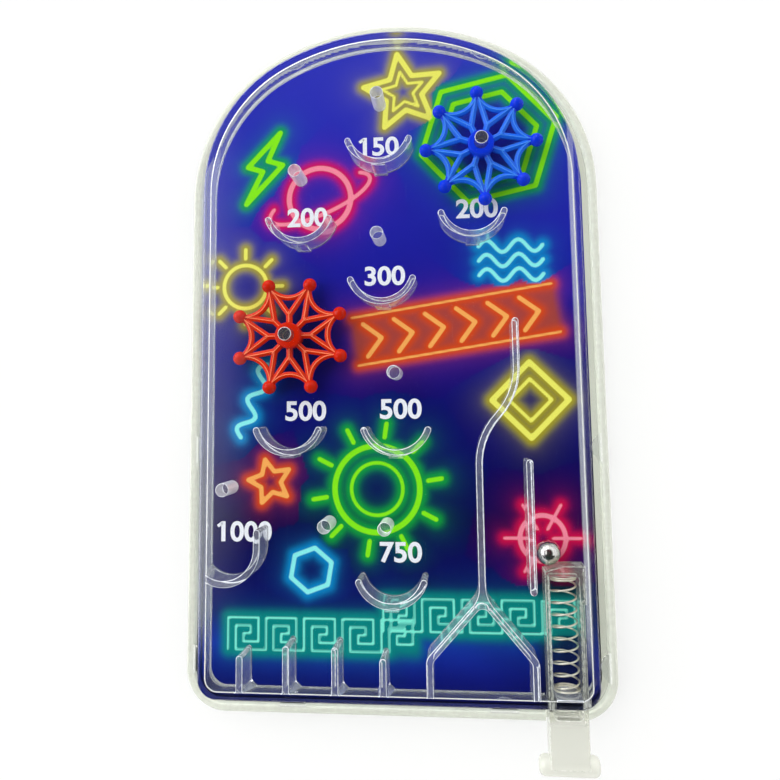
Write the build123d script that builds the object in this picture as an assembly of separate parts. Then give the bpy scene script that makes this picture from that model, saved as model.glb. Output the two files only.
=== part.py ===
from build123d import *
import math
import os

# Hand-held pinball game lying on its back: +Y runs from the plunger to the arched top, +Z is up,
# and the origin is the centre of the tray's underside. All lengths are millimetres.

# Case outline
CASE_W = 84.0
CASE_L = 140.0
ARCH_RISE = 36.2
SHOULDER_DEG = 63.0
CORNER_R = 8.0

# Base tray
TRAY_FLOOR = 1.4
RIM_T = 1.5
RIM_EDGE = 0.45
CLIP_R = 3.1
CLIP_T = 0.8
CLIP_GAP = 0.1
SIDE_CLIP_SHARE = -0.27
LOWER_CLIP_SHARE = -0.86
BOTTOM_CLIP_SHARE = 0.49
ARCH_CLIP_DEG = 66.0

# Playfield card
CARD_T = 0.4
CARD_GAP = 0.2

# Cover
COVER_SETBACK = 3.4
FLANGE_T = 1.2
FLANGE_GAP = 0.25
WALL_T = 1.2
WALL_LEAN = 1.0
PLAY_H = 7.5
WINDOW_T = 1.2
COVER_EDGE = 0.7

# Things that hang from the window
HANG_GAP = 0.15
RAIL_T = 1.3
PIN_D = 2.7
CUP_W = 12.4
CUP_DEPTH = 4.4
CUP_LEG = 3.2
CUP_SWEEP_DEG = 165.0
CUP_PAD_W = 2.8
CUP_PAD_T = 0.35
DIVIDER_SHORT = 7.1
DIVIDER_LONG = 9.0

# Places on the playfield, as shares of half the case's width and half its length
PIN_SHARES = {
    "bumper_pin_top": (-0.048, 0.759),
    "bumper_pin_upper_left": (-0.452, 0.536),
    "bumper_pin_upper_middle": (-0.055, 0.343),
    "bumper_pin_centre": (0.017, -0.055),
    "bumper_pin_wall": (-0.795, -0.379),
    "bumper_pin_lower_left": (-0.313, -0.479),
    "bumper_pin_lower_middle": (-0.035, -0.484),
}
CUP_SHARES = {
    "score_cup_150": (-0.043, 0.617),
    "score_cup_200_left": (-0.433, 0.391),
    "score_cup_200_right": (0.400, 0.394),
    "score_cup_300": (-0.035, 0.209),
    "score_cup_500_left": (-0.486, -0.214),
    "score_cup_500_right": (0.023, -0.216),
    "score_cup_750": (-0.007, -0.626),
}
WALL_CUP_SHARES = (-0.786, -0.542)
RED_SPINNER_SHARES = (-0.500, 0.059)
BLUE_SPINNER_SHARES = (0.452, 0.610)
SHORT_DIVIDER_SHARES = {"lane_divider_1": -0.706, "lane_divider_4": -0.049}
LONG_DIVIDER_SHARES = {"lane_divider_2": -0.491, "lane_divider_3": -0.266}
CURVED_RAIL_TOP_SHARES = (0.581, 0.081)
CURVED_RAIL_BEND_SHARE = -0.043
CURVED_RAIL_FOOT_SHARES = (0.401, -0.314)
FORK_APEX_SHARE = -0.667
FORK_KINK_SHARE = -0.826
FORK_LEFT_SHARE = 0.160
FORK_BEND_R = 2.0
LAUNCH_RAIL_SPAN_SHARES = (-0.307, -0.646)

# Launch lane and plunger
LANE_W = 10.45
SLIDE_GAP = 0.3
PLUNGER_LIFT = 0.2
PLUNGER_RAIL = 0.9
PLUNGER_PAD = 0.4
PLUNGER_PAD_L = 7.0
HEAD_T = 2.0
HEAD_SLOPE = 1.0
STEM_L = 6.9
KNOB_W = 11.2
KNOB_D = 3.9
KNOB_EDGE = 1.0
SLOT_R = 1.0

# Launch spring
SPRING_D = 4.7
SPRING_SIDE_GAP = 0.35
SPRING_COVER = 0.25
WIRE_D = 0.5
WIRE_SIDE_COUNT = 4
SPRING_L = 21.3
SPRING_TURN_COUNT = 11
SPRING_BEND_R = 1.0
SPRING_GAP = 0.02

# Spinners
SPINNER_ARM_COUNT = 8
SPINNER_CLEARANCE = 1.25
TIP_D = 2.6
TIP_FLAT_COUNT = 8
RIB_W = 1.4
RIB_SIDE_DEG = 79.0
WEB_T = 1.5
SCALLOP_W = 1.25
SCALLOP_T = 1.2
HUB_D = 5.3
HUB_H = 4.4
SPIN_GAP = 0.06
NODE_RADIUS_SHARE = 0.42
SCALLOP_RADIUS_SHARE = 0.70
RED_TURN_DEG = 23.0
BLUE_TURN_DEG = 3.0

# Ball
BALL_D = 4.76
BALL_GAP = 0.1

# One overrun for every cut
OVERRUN = 2.0

# Heights, counted from the tray's underside
CARD_TOP = TRAY_FLOOR + CARD_T
FLANGE_TOP = CARD_TOP + FLANGE_T
RIM_H = FLANGE_TOP + CLIP_GAP + CLIP_T
WINDOW_LOW = CARD_TOP + PLAY_H
WINDOW_TOP = WINDOW_LOW + WINDOW_T
HANG_LOW = CARD_TOP + HANG_GAP

# Arch of the case: a crown arc between two tighter side arcs
HALF_W = CASE_W / 2
HALF_L = CASE_L / 2
SHOULDER = math.radians(SHOULDER_DEG)
ARCH_SHARE = (1 - math.sin(SHOULDER)) / math.cos(SHOULDER)
SIDE_R = (ARCH_RISE - HALF_W * ARCH_SHARE) / (1 - ARCH_SHARE)
CROWN_R = SIDE_R + (HALF_W - SIDE_R) / math.cos(SHOULDER)
SPRING_LINE_Y = HALF_L - ARCH_RISE
SIDE_CENTRE_X = HALF_W - SIDE_R
CROWN_CENTRE_Y = HALF_L - CROWN_R

# Inside of the cover at the card, and what is set out from it
INNER_SETBACK = COVER_SETBACK + WALL_T
FIELD_RIGHT = HALF_W - INNER_SETBACK
FIELD_BOTTOM = INNER_SETBACK - HALF_L
LAUNCH_RAIL_X = FIELD_RIGHT - LANE_W - RAIL_T / 2
PLUNGER_X = FIELD_RIGHT - LANE_W / 2
CUP_R = (CUP_W ** 2 / 4 + CUP_DEPTH ** 2) / (2 * CUP_DEPTH)

# Plunger round its spring, from its stop on the cover's flange up to its head
SLOT_W = SPRING_D + 2 * SPRING_SIDE_GAP
PLUNGER_W = SLOT_W + 2 * PLUNGER_RAIL
PLUNGER_H = SPRING_D + 2 * SPRING_COVER
PLUNGER_LOW = CARD_TOP + PLUNGER_LIFT
PLUNGER_TOP = PLUNGER_LOW + PLUNGER_H
PLUNGER_MID = PLUNGER_LOW + PLUNGER_H / 2
SEAT_W = SLOT_W - 2 * SLIDE_GAP
FLANGE_SETBACK = RIM_T + FLANGE_GAP
SLOT_FOOT = FLANGE_SETBACK - HALF_L - SLIDE_GAP
SEAT_FACE = FIELD_BOTTOM + RAIL_T
SLOT_HEAD = SEAT_FACE + SPRING_L
KNOB_TOP = SLOT_FOOT - STEM_L

# Spinner radius, from the blue axis to the nearest tip of the two cups beside it
BLUE_X = BLUE_SPINNER_SHARES[0] * HALF_W
BLUE_Y = BLUE_SPINNER_SHARES[1] * HALF_L
CUP_TIPS_BESIDE = [
    (CUP_SHARES[cup][0] * HALF_W + side * CUP_W / 2, CUP_SHARES[cup][1] * HALF_L)
    for cup in ("score_cup_150", "score_cup_200_right")
    for side in (-1, 1)
]
CUP_TIP_REACH = min(math.hypot(x - BLUE_X, y - BLUE_Y) for x, y in CUP_TIPS_BESIDE)
SPINNER_R = CUP_TIP_REACH - RAIL_T / 2 - TIP_D / 2 - SPINNER_CLEARANCE

# Ball, resting against the launch rail above the plunger's head
BALL_R = BALL_D / 2
BALL_X = LAUNCH_RAIL_X + RAIL_T / 2 + SLIDE_GAP + BALL_R
HEAD_ANGLE = math.atan2(HEAD_SLOPE, PLUNGER_W / 2)
HEAD_LEFT_Y = SLOT_HEAD + HEAD_T - HEAD_SLOPE
BALL_RUN = BALL_X - (PLUNGER_X - PLUNGER_W / 2)
BALL_Y = HEAD_LEFT_Y + BALL_RUN * math.tan(HEAD_ANGLE) + (BALL_R + SLIDE_GAP) / math.cos(HEAD_ANGLE)
BALL_Z = CARD_TOP + BALL_GAP + BALL_R


def place(shares):
    """Point of the playfield given by shares of the case's half width and half length."""
    return shares[0] * HALF_W, shares[1] * HALF_L


def block(low, high):
    """Solid box between two opposite corners."""
    size = [b - a for a, b in zip(low, high)]
    middle = [(a + b) / 2 for a, b in zip(low, high)]
    return Pos(*middle) * Box(*size)


def case_face(inset):
    """Plan outline of the case moved inwards: arched top, straight sides, round lower corners."""
    half = HALF_W - inset
    bottom = inset - HALF_L
    corner = CORNER_R - inset
    corner_y = bottom + corner
    side_r = SIDE_R - inset
    crown_sweep = 180 - 2 * SHOULDER_DEG
    edges = [
        Line((corner - half, bottom), (half - corner, bottom)),
        CenterArc((half - corner, corner_y), corner, 270, 90),
        Line((half, corner_y), (half, SPRING_LINE_Y)),
        CenterArc((SIDE_CENTRE_X, SPRING_LINE_Y), side_r, 0, SHOULDER_DEG),
        CenterArc((0, CROWN_CENTRE_Y), CROWN_R - inset, SHOULDER_DEG, crown_sweep),
        CenterArc((-SIDE_CENTRE_X, SPRING_LINE_Y), side_r, 180 - SHOULDER_DEG, SHOULDER_DEG),
        Line((-half, SPRING_LINE_Y), (-half, corner_y)),
        CenterArc((corner - half, corner_y), corner, 180, 90),
    ]
    return make_face(edges)


def case_slab(inset, low, height):
    """Straight-sided slab of the case outline."""
    return Pos(0, 0, low) * extrude(case_face(inset), height)


def case_cone(inset, low, height):
    """Slab of the case outline whose side leans inwards as the cover's wall does."""
    lean = math.degrees(math.atan2(WALL_LEAN, PLAY_H + WINDOW_T))
    return Pos(0, 0, low) * extrude(case_face(inset), height, taper=lean)


def make_tray():
    """Floor and rim, with half-round tabs over the cover's flange and a gap for the plunger."""
    shell = case_slab(0, 0, RIM_H)
    rim_edges = shell.faces().sort_by(Axis.Z)[-1].edges() + shell.faces().sort_by(Axis.Z)[0].edges()
    shell = chamfer(rim_edges, RIM_EDGE)
    tray = shell - case_slab(RIM_T, TRAY_FLOOR, RIM_H)
    crown_angle = math.radians(ARCH_CLIP_DEG)
    arch_x = CROWN_R * math.cos(crown_angle)
    arch_y = CROWN_CENTRE_Y + CROWN_R * math.sin(crown_angle)
    centres = [
        (HALF_W, SIDE_CLIP_SHARE * HALF_L),
        (HALF_W, LOWER_CLIP_SHARE * HALF_L),
        (BOTTOM_CLIP_SHARE * HALF_W, -HALF_L),
        (arch_x, arch_y),
    ]
    disc_low = RIM_H - CLIP_T
    inside = case_slab(RIM_T / 2, disc_low, CLIP_T)
    for x, y in centres:
        for side in (-1, 1):
            disc = Pos(side * x, y, disc_low + CLIP_T / 2) * Cylinder(CLIP_R, CLIP_T)
            tray += disc & inside
    gap_half = PLUNGER_W / 2 + SLIDE_GAP
    tray -= block(
        (PLUNGER_X - gap_half, -HALF_L - OVERRUN, CARD_TOP),
        (PLUNGER_X + gap_half, FLANGE_SETBACK - HALF_L, RIM_H + OVERRUN),
    )
    return tray


def make_card():
    """Printed board on the tray's floor."""
    return case_slab(RIM_T + CARD_GAP, TRAY_FLOOR, CARD_T)


def make_cavity():
    """Space under the window, inside the cover's wall."""
    return case_cone(INNER_SETBACK, CARD_TOP, PLAY_H)


def make_cover(cavity):
    """Window, leaning wall and flange, notched for the plunger's two rails."""
    dome = case_cone(COVER_SETBACK, CARD_TOP, PLAY_H + WINDOW_T)
    dome = chamfer(dome.faces().sort_by(Axis.Z)[-1].edges(), COVER_EDGE)
    flange = case_slab(FLANGE_SETBACK, CARD_TOP, FLANGE_T)
    cover = dome + flange - cavity
    notch_in = SEAT_W / 2
    notch_out = PLUNGER_W / 2 + SLIDE_GAP
    for side in (-1, 1):
        edges = sorted((PLUNGER_X + side * notch_in, PLUNGER_X + side * notch_out))
        cover -= block(
            (edges[0], -HALF_L, CARD_TOP - OVERRUN),
            (edges[1], CORNER_R - HALF_L, PLUNGER_TOP + SLIDE_GAP),
        )
    return cover


def hang(face, cavity):
    """Wall that hangs from the window almost to the card, trimmed by the cover's inside."""
    return Pos(0, 0, HANG_LOW) * extrude(face, WINDOW_LOW - HANG_LOW) & cavity


def bar_face(start, end, width):
    """Straight strip with round ends between two points."""
    run = Vector(*end) - Vector(*start)
    middle = (Vector(*start) + Vector(*end)) / 2
    turn = math.degrees(math.atan2(run.Y, run.X))
    return Pos(middle.X, middle.Y) * Rot(0, 0, turn) * SlotCenterToCenter(run.length, width)


def make_pin(shares, cavity):
    """Round pin under the window."""
    return hang(Pos(*place(shares)) * Circle(PIN_D / 2), cavity)


def make_cup(shares, cavity):
    """Bowl-shaped wall, open towards the arch, with a flat pad under its lowest part."""
    x, rim_y = place(shares)
    centre = (x, rim_y + CUP_R - CUP_DEPTH)
    half_sweep = math.degrees(math.asin(CUP_W / 2 / CUP_R))
    arc = CenterArc(centre, CUP_R, 270 - half_sweep, 2 * half_sweep)
    pad_y = rim_y - CUP_DEPTH - (RAIL_T / 2 + CUP_PAD_T) / 2
    pad = Pos(x, pad_y) * Rectangle(CUP_PAD_W, RAIL_T / 2 + CUP_PAD_T)
    return hang(SlotArc(arc, RAIL_T) + pad, cavity)


def make_wall_cup(cavity):
    """Hook-shaped wall that closes a cup against the case's left side."""
    x, y = place(WALL_CUP_SHARES)
    arc = CenterArc((x, y), CUP_R, 360 - CUP_SWEEP_DEG, CUP_SWEEP_DEG)
    leg = Line((x + CUP_R, y), (x + CUP_R, y + CUP_LEG))
    return hang(SlotArc(Wire([arc, leg]), RAIL_T), cavity)


def make_divider(x_share, length, cavity):
    """Straight wall between two bottom lanes, standing on the lower wall."""
    x = x_share * HALF_W
    return hang(bar_face((x, FIELD_BOTTOM - OVERRUN), (x, FIELD_BOTTOM + length), RAIL_T), cavity)


def make_fork(cavity):
    """Roof-shaped rail over the dead lanes beside the plunger."""
    apex = (CURVED_RAIL_FOOT_SHARES[0] * HALF_W, FORK_APEX_SHARE * HALF_L)
    kink_y = FORK_KINK_SHARE * HALF_L
    left = FORK_LEFT_SHARE * HALF_W
    foot_y = FIELD_BOTTOM - OVERRUN
    points = [(left, foot_y), (left, kink_y), apex, (LAUNCH_RAIL_X, kink_y), (LAUNCH_RAIL_X, foot_y)]
    return hang(SlotArc(FilletPolyline(*points, radius=FORK_BEND_R), RAIL_T), cavity)


def make_curved_rail(fork, cavity):
    """S-shaped rail that ends on the fork's apex."""
    top_x, top_y = place(CURVED_RAIL_TOP_SHARES)
    foot_x, foot_y = place(CURVED_RAIL_FOOT_SHARES)
    bend = (top_x, CURVED_RAIL_BEND_SHARE * HALF_L)
    foot = (foot_x, foot_y)
    middle = ((top_x + foot_x) / 2, (bend[1] + foot_y) / 2)
    path = Wire([
        Line((top_x, top_y), bend),
        TangentArc(bend, middle, tangent=(0, -1)),
        TangentArc(foot, middle, tangent=(0, 1)),
        Line(foot, (foot_x, FORK_APEX_SHARE * HALF_L)),
    ])
    return hang(SlotArc(path, RAIL_T), cavity) - fork


def make_launch_rail(cavity):
    """Straight rail along the launch lane."""
    top, foot = [share * HALF_L for share in LAUNCH_RAIL_SPAN_SHARES]
    return hang(bar_face((LAUNCH_RAIL_X, foot), (LAUNCH_RAIL_X, top), RAIL_T), cavity)


def make_spring_seat(cavity):
    """Lug on the lower wall, inside the plunger's slot, that the spring pushes against."""
    lug = block(
        (PLUNGER_X - SEAT_W / 2, FIELD_BOTTOM - OVERRUN, HANG_LOW),
        (PLUNGER_X + SEAT_W / 2, SEAT_FACE, WINDOW_LOW),
    )
    return lug & cavity


def make_plunger():
    """Sloped head, two rails round a slot, a guide pad, a stem and a round bar for a knob."""
    left = PLUNGER_X - PLUNGER_W / 2
    right = PLUNGER_X + PLUNGER_W / 2
    head_y = SLOT_HEAD + HEAD_T
    pad_y = head_y - PLUNGER_PAD_L
    outline = Polyline(
        (left, KNOB_TOP), (right, KNOB_TOP), (right, pad_y), (right + PLUNGER_PAD, pad_y),
        (right + PLUNGER_PAD, head_y), (PLUNGER_X, head_y), (left, HEAD_LEFT_Y),
        close=True,
    )
    slot = RectangleRounded(SLOT_W, SLOT_HEAD - SLOT_FOOT, SLOT_R)
    slot = Pos(PLUNGER_X, (SLOT_FOOT + SLOT_HEAD) / 2) * slot
    frame = Pos(0, 0, PLUNGER_LOW) * extrude(make_face(outline) - slot, PLUNGER_H)
    knob_r = KNOB_D / 2
    bar = Cylinder(knob_r, KNOB_W)
    bar = chamfer(bar.edges().filter_by(GeomType.CIRCLE), KNOB_EDGE)
    knob = Pos(PLUNGER_X, KNOB_TOP - knob_r, PLUNGER_MID) * Rot(0, 90, 0) * bar
    stem_end = block((left, KNOB_TOP - knob_r, PLUNGER_LOW), (right, KNOB_TOP, PLUNGER_TOP))
    return frame + stem_end + knob


def biarc(start, start_way, end, end_way):
    """Two arcs that meet smoothly and leave two points along given directions."""
    chord = end - start
    ways = start_way + end_way
    a = ways.dot(ways) - 4
    b = -2 * chord.dot(ways)
    c = chord.dot(chord)
    reach = (-b - math.sqrt(b * b - 4 * a * c)) / (2 * a)
    first = start + start_way * reach
    second = end - end_way * reach
    joint = (first + second) / 2
    return [
        TangentArc(start, joint, tangent=start_way),
        TangentArc(joint, end, tangent=(second - first).normalized()),
    ]


def make_spring():
    """One wire from the seat to the plunger's head: a short square end, open turns, a square end."""
    coil_r = (SPRING_D - WIRE_D) / 2
    low = SPRING_GAP
    high = SPRING_L - SPRING_GAP
    coil_low = low + WIRE_D + SPRING_BEND_R
    coil_high = high - WIRE_D - SPRING_BEND_R
    pitch = (coil_high - coil_low) / SPRING_TURN_COUNT
    bend_angle = SPRING_BEND_R / coil_r

    def on_coil(angle, y):
        """Point of the wire's centre line at an angle about the coil's axis."""
        return Vector(coil_r * math.cos(angle), y, coil_r * math.sin(angle))

    def way(angle):
        """Direction of the wire at an angle about the coil's axis."""
        rise = pitch / (2 * math.pi)
        return Vector(-coil_r * math.sin(angle), rise, coil_r * math.cos(angle)).normalized()

    last = 2 * math.pi * SPRING_TURN_COUNT
    along = Vector(0, 1, 0)
    foot = on_coil(-bend_angle, low)
    foot_end = on_coil(-bend_angle, low + WIRE_D)
    head = on_coil(last + bend_angle, high)
    head_end = on_coil(last + bend_angle, high - WIRE_D)
    edges = [Line(foot, foot_end)]
    edges += biarc(foot_end, along, on_coil(0, coil_low), way(0))
    halves = 2 * SPRING_TURN_COUNT
    for half in range(halves):
        start, end = math.pi * half, math.pi * (half + 1)
        y_start = coil_low + pitch * half / 2
        y_end = coil_low + pitch * (half + 1) / 2
        edges += biarc(on_coil(start, y_start), way(start), on_coil(end, y_end), way(end))
    edges += biarc(on_coil(last, coil_high), way(last), head_end, along)
    edges.append(Line(head_end, head))
    path = Wire(edges)
    section = Plane(origin=foot, z_dir=along) * RegularPolygon(WIRE_D / 2, WIRE_SIDE_COUNT)
    wire = sweep(section, path=path)
    report_spring(path, wire)
    return Pos(PLUNGER_X, SEAT_FACE, PLUNGER_MID) * wire


def report_spring(path, wire):
    """Print the spring's volume against its section and length, and the least gap between turns."""
    steps_per_turn = 24
    count = steps_per_turn * (SPRING_TURN_COUNT + 1)
    points = [path.position_at(step / count) for step in range(count + 1)]
    apart = steps_per_turn // 2
    gap = min((a - b).length for i, a in enumerate(points) for b in points[i + apart:]) - WIRE_D
    swept = path.length * WIRE_SIDE_COUNT / 2 * math.sin(2 * math.pi / WIRE_SIDE_COUNT) * (WIRE_D / 2) ** 2
    print(f"spring: length {path.length:.1f}, volume {wire.volume:.3f} of {swept:.3f}, least gap {gap:.2f}")


def polar(radius, angle):
    """Point at a radius and an angle in degrees about the origin."""
    return radius * math.cos(math.radians(angle)), radius * math.sin(math.radians(angle))


def rib_section(start, along):
    """Drafted section of a spinner's rib, square to the rib's direction and narrower on top."""
    across = Vector(-along.Y, along.X, 0)
    return Plane(origin=start, x_dir=across, z_dir=along) * Trapezoid(RIB_W, WEB_T, RIB_SIDE_DEG)


def straight_rib(start, end):
    """Straight rib of a spinner between two points."""
    run = Vector(*end) - Vector(*start)
    return extrude(rib_section(start, run.normalized()), run.length)


def scallop_rib(tip, dip, next_tip):
    """Hollow-curved flat rib of a spinner from one tip to the next."""
    return extrude(SlotArc(ThreePointArc(tip, dip, next_tip), SCALLOP_W), SCALLOP_T / 2, both=True)


def tip_bead():
    """Ball tip of a spinner's arm, cut with few flats from three crossed bars."""
    bar = extrude(RegularPolygon(TIP_D / 2, TIP_FLAT_COUNT, major_radius=False), TIP_D / 2, both=True)
    return bar & Rot(90, 0, 0) * bar & Rot(0, 90, 0) * bar


def make_spinner(shares, turn):
    """Web wheel: ball tips, scallops from tip to tip, paired ribs to inner nodes, spokes and a hub."""
    step = 360 / SPINNER_ARM_COUNT
    tip, next_tip = polar(SPINNER_R, 0), polar(SPINNER_R, step)
    inner = polar(NODE_RADIUS_SHARE * SPINNER_R, step / 2)
    dip = polar(SCALLOP_RADIUS_SHARE * SPINNER_R, step / 2)
    spoke_end = polar(NODE_RADIUS_SHARE * SPINNER_R + RIB_W / 2, step / 2)
    sector = [
        Pos(*tip) * tip_bead(),
        scallop_rib(tip, dip, next_tip),
        straight_rib(tip, inner),
        straight_rib(next_tip, inner),
        straight_rib((0, 0), spoke_end),
    ]
    ribs = [Rot(0, 0, arm * step) * rib for arm in range(SPINNER_ARM_COUNT) for rib in sector]
    wheel = Part() + ribs + Cylinder(HUB_D / 2, HUB_H)
    wheel -= Cylinder(PIN_D / 2 + SPIN_GAP, HUB_H + OVERRUN)
    x, y = place(shares)
    return Pos(x, y, HANG_LOW + HUB_H / 2) * Rot(0, 0, turn) * wheel


def make_ball():
    """Steel ball waiting on the plunger."""
    return Pos(BALL_X, BALL_Y, BALL_Z) * Sphere(BALL_R)


def make_pieces():
    """Every piece by the name of its node."""
    cavity = make_cavity()
    fork = make_fork(cavity)
    pieces = {
        "base_tray": make_tray(),
        "playfield_card": make_card(),
        "cover": make_cover(cavity),
        "fork_rail": fork,
        "curved_rail": make_curved_rail(fork, cavity),
        "launch_rail": make_launch_rail(cavity),
        "spring_seat": make_spring_seat(cavity),
        "score_cup_1000": make_wall_cup(cavity),
        "red_spinner_pin": make_pin(RED_SPINNER_SHARES, cavity),
        "blue_spinner_pin": make_pin(BLUE_SPINNER_SHARES, cavity),
        "red_spinner": make_spinner(RED_SPINNER_SHARES, RED_TURN_DEG),
        "blue_spinner": make_spinner(BLUE_SPINNER_SHARES, BLUE_TURN_DEG),
        "plunger": make_plunger(),
        "launch_spring": make_spring(),
        "ball": make_ball(),
    }
    for name, shares in PIN_SHARES.items():
        pieces[name] = make_pin(shares, cavity)
    for name, shares in CUP_SHARES.items():
        pieces[name] = make_cup(shares, cavity)
    for name, share in SHORT_DIVIDER_SHARES.items():
        pieces[name] = make_divider(share, DIVIDER_SHORT, cavity)
    for name, share in LONG_DIVIDER_SHARES.items():
        pieces[name] = make_divider(share, DIVIDER_LONG, cavity)
    return pieces


os.makedirs("parts", exist_ok=True)
for node, piece in make_pieces().items():
    export_step(piece, f"parts/{node}.step")
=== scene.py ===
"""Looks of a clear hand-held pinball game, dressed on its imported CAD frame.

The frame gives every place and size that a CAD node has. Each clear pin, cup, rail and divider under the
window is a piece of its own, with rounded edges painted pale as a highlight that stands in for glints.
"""

import logging
import math
from abc import ABC, abstractmethod
from collections.abc import Callable, Iterable, Sequence
from dataclasses import dataclass, field, replace
from enum import Enum
from functools import cached_property

import bmesh
import bpy
import numpy as np
from bmesh.types import BMEdge, BMesh, BMFace, BMVert
from bpy.types import Material, Object
from mathutils import Euler, Matrix, Vector


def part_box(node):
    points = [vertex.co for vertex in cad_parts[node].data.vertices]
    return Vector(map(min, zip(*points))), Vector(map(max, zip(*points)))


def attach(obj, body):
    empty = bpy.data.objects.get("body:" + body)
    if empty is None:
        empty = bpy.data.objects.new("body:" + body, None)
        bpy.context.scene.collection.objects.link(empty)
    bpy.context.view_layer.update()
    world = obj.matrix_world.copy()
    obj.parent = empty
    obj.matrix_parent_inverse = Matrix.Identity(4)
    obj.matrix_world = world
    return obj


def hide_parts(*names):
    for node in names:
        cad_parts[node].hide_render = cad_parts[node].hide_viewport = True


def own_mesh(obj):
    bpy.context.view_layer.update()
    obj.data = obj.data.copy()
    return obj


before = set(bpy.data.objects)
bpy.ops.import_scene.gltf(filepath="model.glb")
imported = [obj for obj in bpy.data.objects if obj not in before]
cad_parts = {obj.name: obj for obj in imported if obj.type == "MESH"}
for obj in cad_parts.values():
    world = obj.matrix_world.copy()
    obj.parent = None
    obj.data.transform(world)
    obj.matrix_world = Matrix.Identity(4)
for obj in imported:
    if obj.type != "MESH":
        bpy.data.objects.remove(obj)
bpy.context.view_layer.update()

MM = 0.001
LEVEL_REACH = 0.001 * MM
UP = Vector((0.0, 0.0, 1.0))
LOG = logging.getLogger("pinball")

Point = tuple[float, float]
Triple = tuple[float, float, float]


def linear(code: str) -> Triple:
    """Scene-linear colour of a web colour code."""
    shares = [int(code[at:at + 2], 16) / 255 for at in (1, 3, 5)]
    return tuple(s / 12.92 if s <= 0.04045 else ((s + 0.055) / 1.055) ** 2.4 for s in shares)


class Joining(Enum):
    """How one solid is worked into another."""

    ADD = "UNION"
    CUT = "DIFFERENCE"
    KEEP = "INTERSECT"


class Axis(Enum):
    """Direction along which a clear piece turns milky."""

    ACROSS = 0
    ALONG = 1
    UP = 2


class Neon(Enum):
    """Inks of the neon lines, as core and halo."""

    GREEN = ("#8AF01E", "#12A83A")
    YELLOW = ("#F6F36A", "#B4A808")
    ORANGE = ("#FFB05C", "#E24A08")
    CYAN = ("#8DF4F2", "#0A8FD0")
    PINK = ("#FF8FA6", "#E2104C")
    TEAL = ("#7FF2DC", "#078C86")

    @property
    def core(self) -> Triple:
        """Colour along the middle of the line."""
        return linear(self.value[0])

    @property
    def halo(self) -> Triple:
        """Colour of the glow beside the line."""
        return linear(self.value[1])


class WheelColour(Enum):
    """Plastics of the spinners, as thick parts, thin ribs and a paler colour along the ridges that paints a
    highlight.
    """

    # The third colour of each is a painted highlight along the ribs' ridges.
    RED = ("#CE2000", "#DA2A00", "#FF8A5C")
    BLUE = ("#0A36DC", "#1C6CE8", "#4490F4")


def node_operator(operation: str, swapped: bool = False) -> "Callable[[Socket, Socket | float], Socket]":
    """Method that turns a Python operator into a Math node.

    Args:
        operation: the node's operation.
        swapped: whether the other value comes first.

    Returns:
        The method.
    """
    def apply(one: "Socket", other: "Socket | float") -> "Socket":
        """Result of the node on the two values."""
        return one.graph.maths(operation, *((other, one) if swapped else (one, other)))

    return apply


class Socket:
    """A node's output that takes part in Python arithmetic."""

    __add__ = __radd__ = node_operator("ADD")
    __sub__ = node_operator("SUBTRACT")
    __rsub__ = node_operator("SUBTRACT", swapped=True)
    __mul__ = __rmul__ = node_operator("MULTIPLY")
    __truediv__ = node_operator("DIVIDE")
    __rtruediv__ = node_operator("DIVIDE", swapped=True)
    __pow__ = node_operator("POWER")
    __rpow__ = node_operator("POWER", swapped=True)
    __lt__ = node_operator("LESS_THAN")
    __gt__ = node_operator("GREATER_THAN")
    at_least = node_operator("MAXIMUM")

    def __init__(self, graph: "Graph", output: bpy.types.NodeSocket) -> None:
        """Keeps the output and the graph that it belongs to."""
        self.graph = graph
        self.output = output

    def ramp(self, low: float, high: float) -> "Socket":
        """Smooth rise from 0 at one value to 1 at another."""
        ends = {"Value": self, "From Min": low, "From Max": high}
        return self.graph.node("ShaderNodeMapRange", {"interpolation_type": "SMOOTHSTEP"}, ends)["Result"]


class NodeOutputs:
    """Outputs of a new node by name or number."""

    def __init__(self, graph: "Graph", made: bpy.types.Node) -> None:
        """Keeps the node and its graph."""
        self.graph = graph
        self.made = made

    def __getitem__(self, name: str | int) -> Socket:
        """One output, ready for arithmetic."""
        return Socket(self.graph, self.made.outputs[name])


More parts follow.
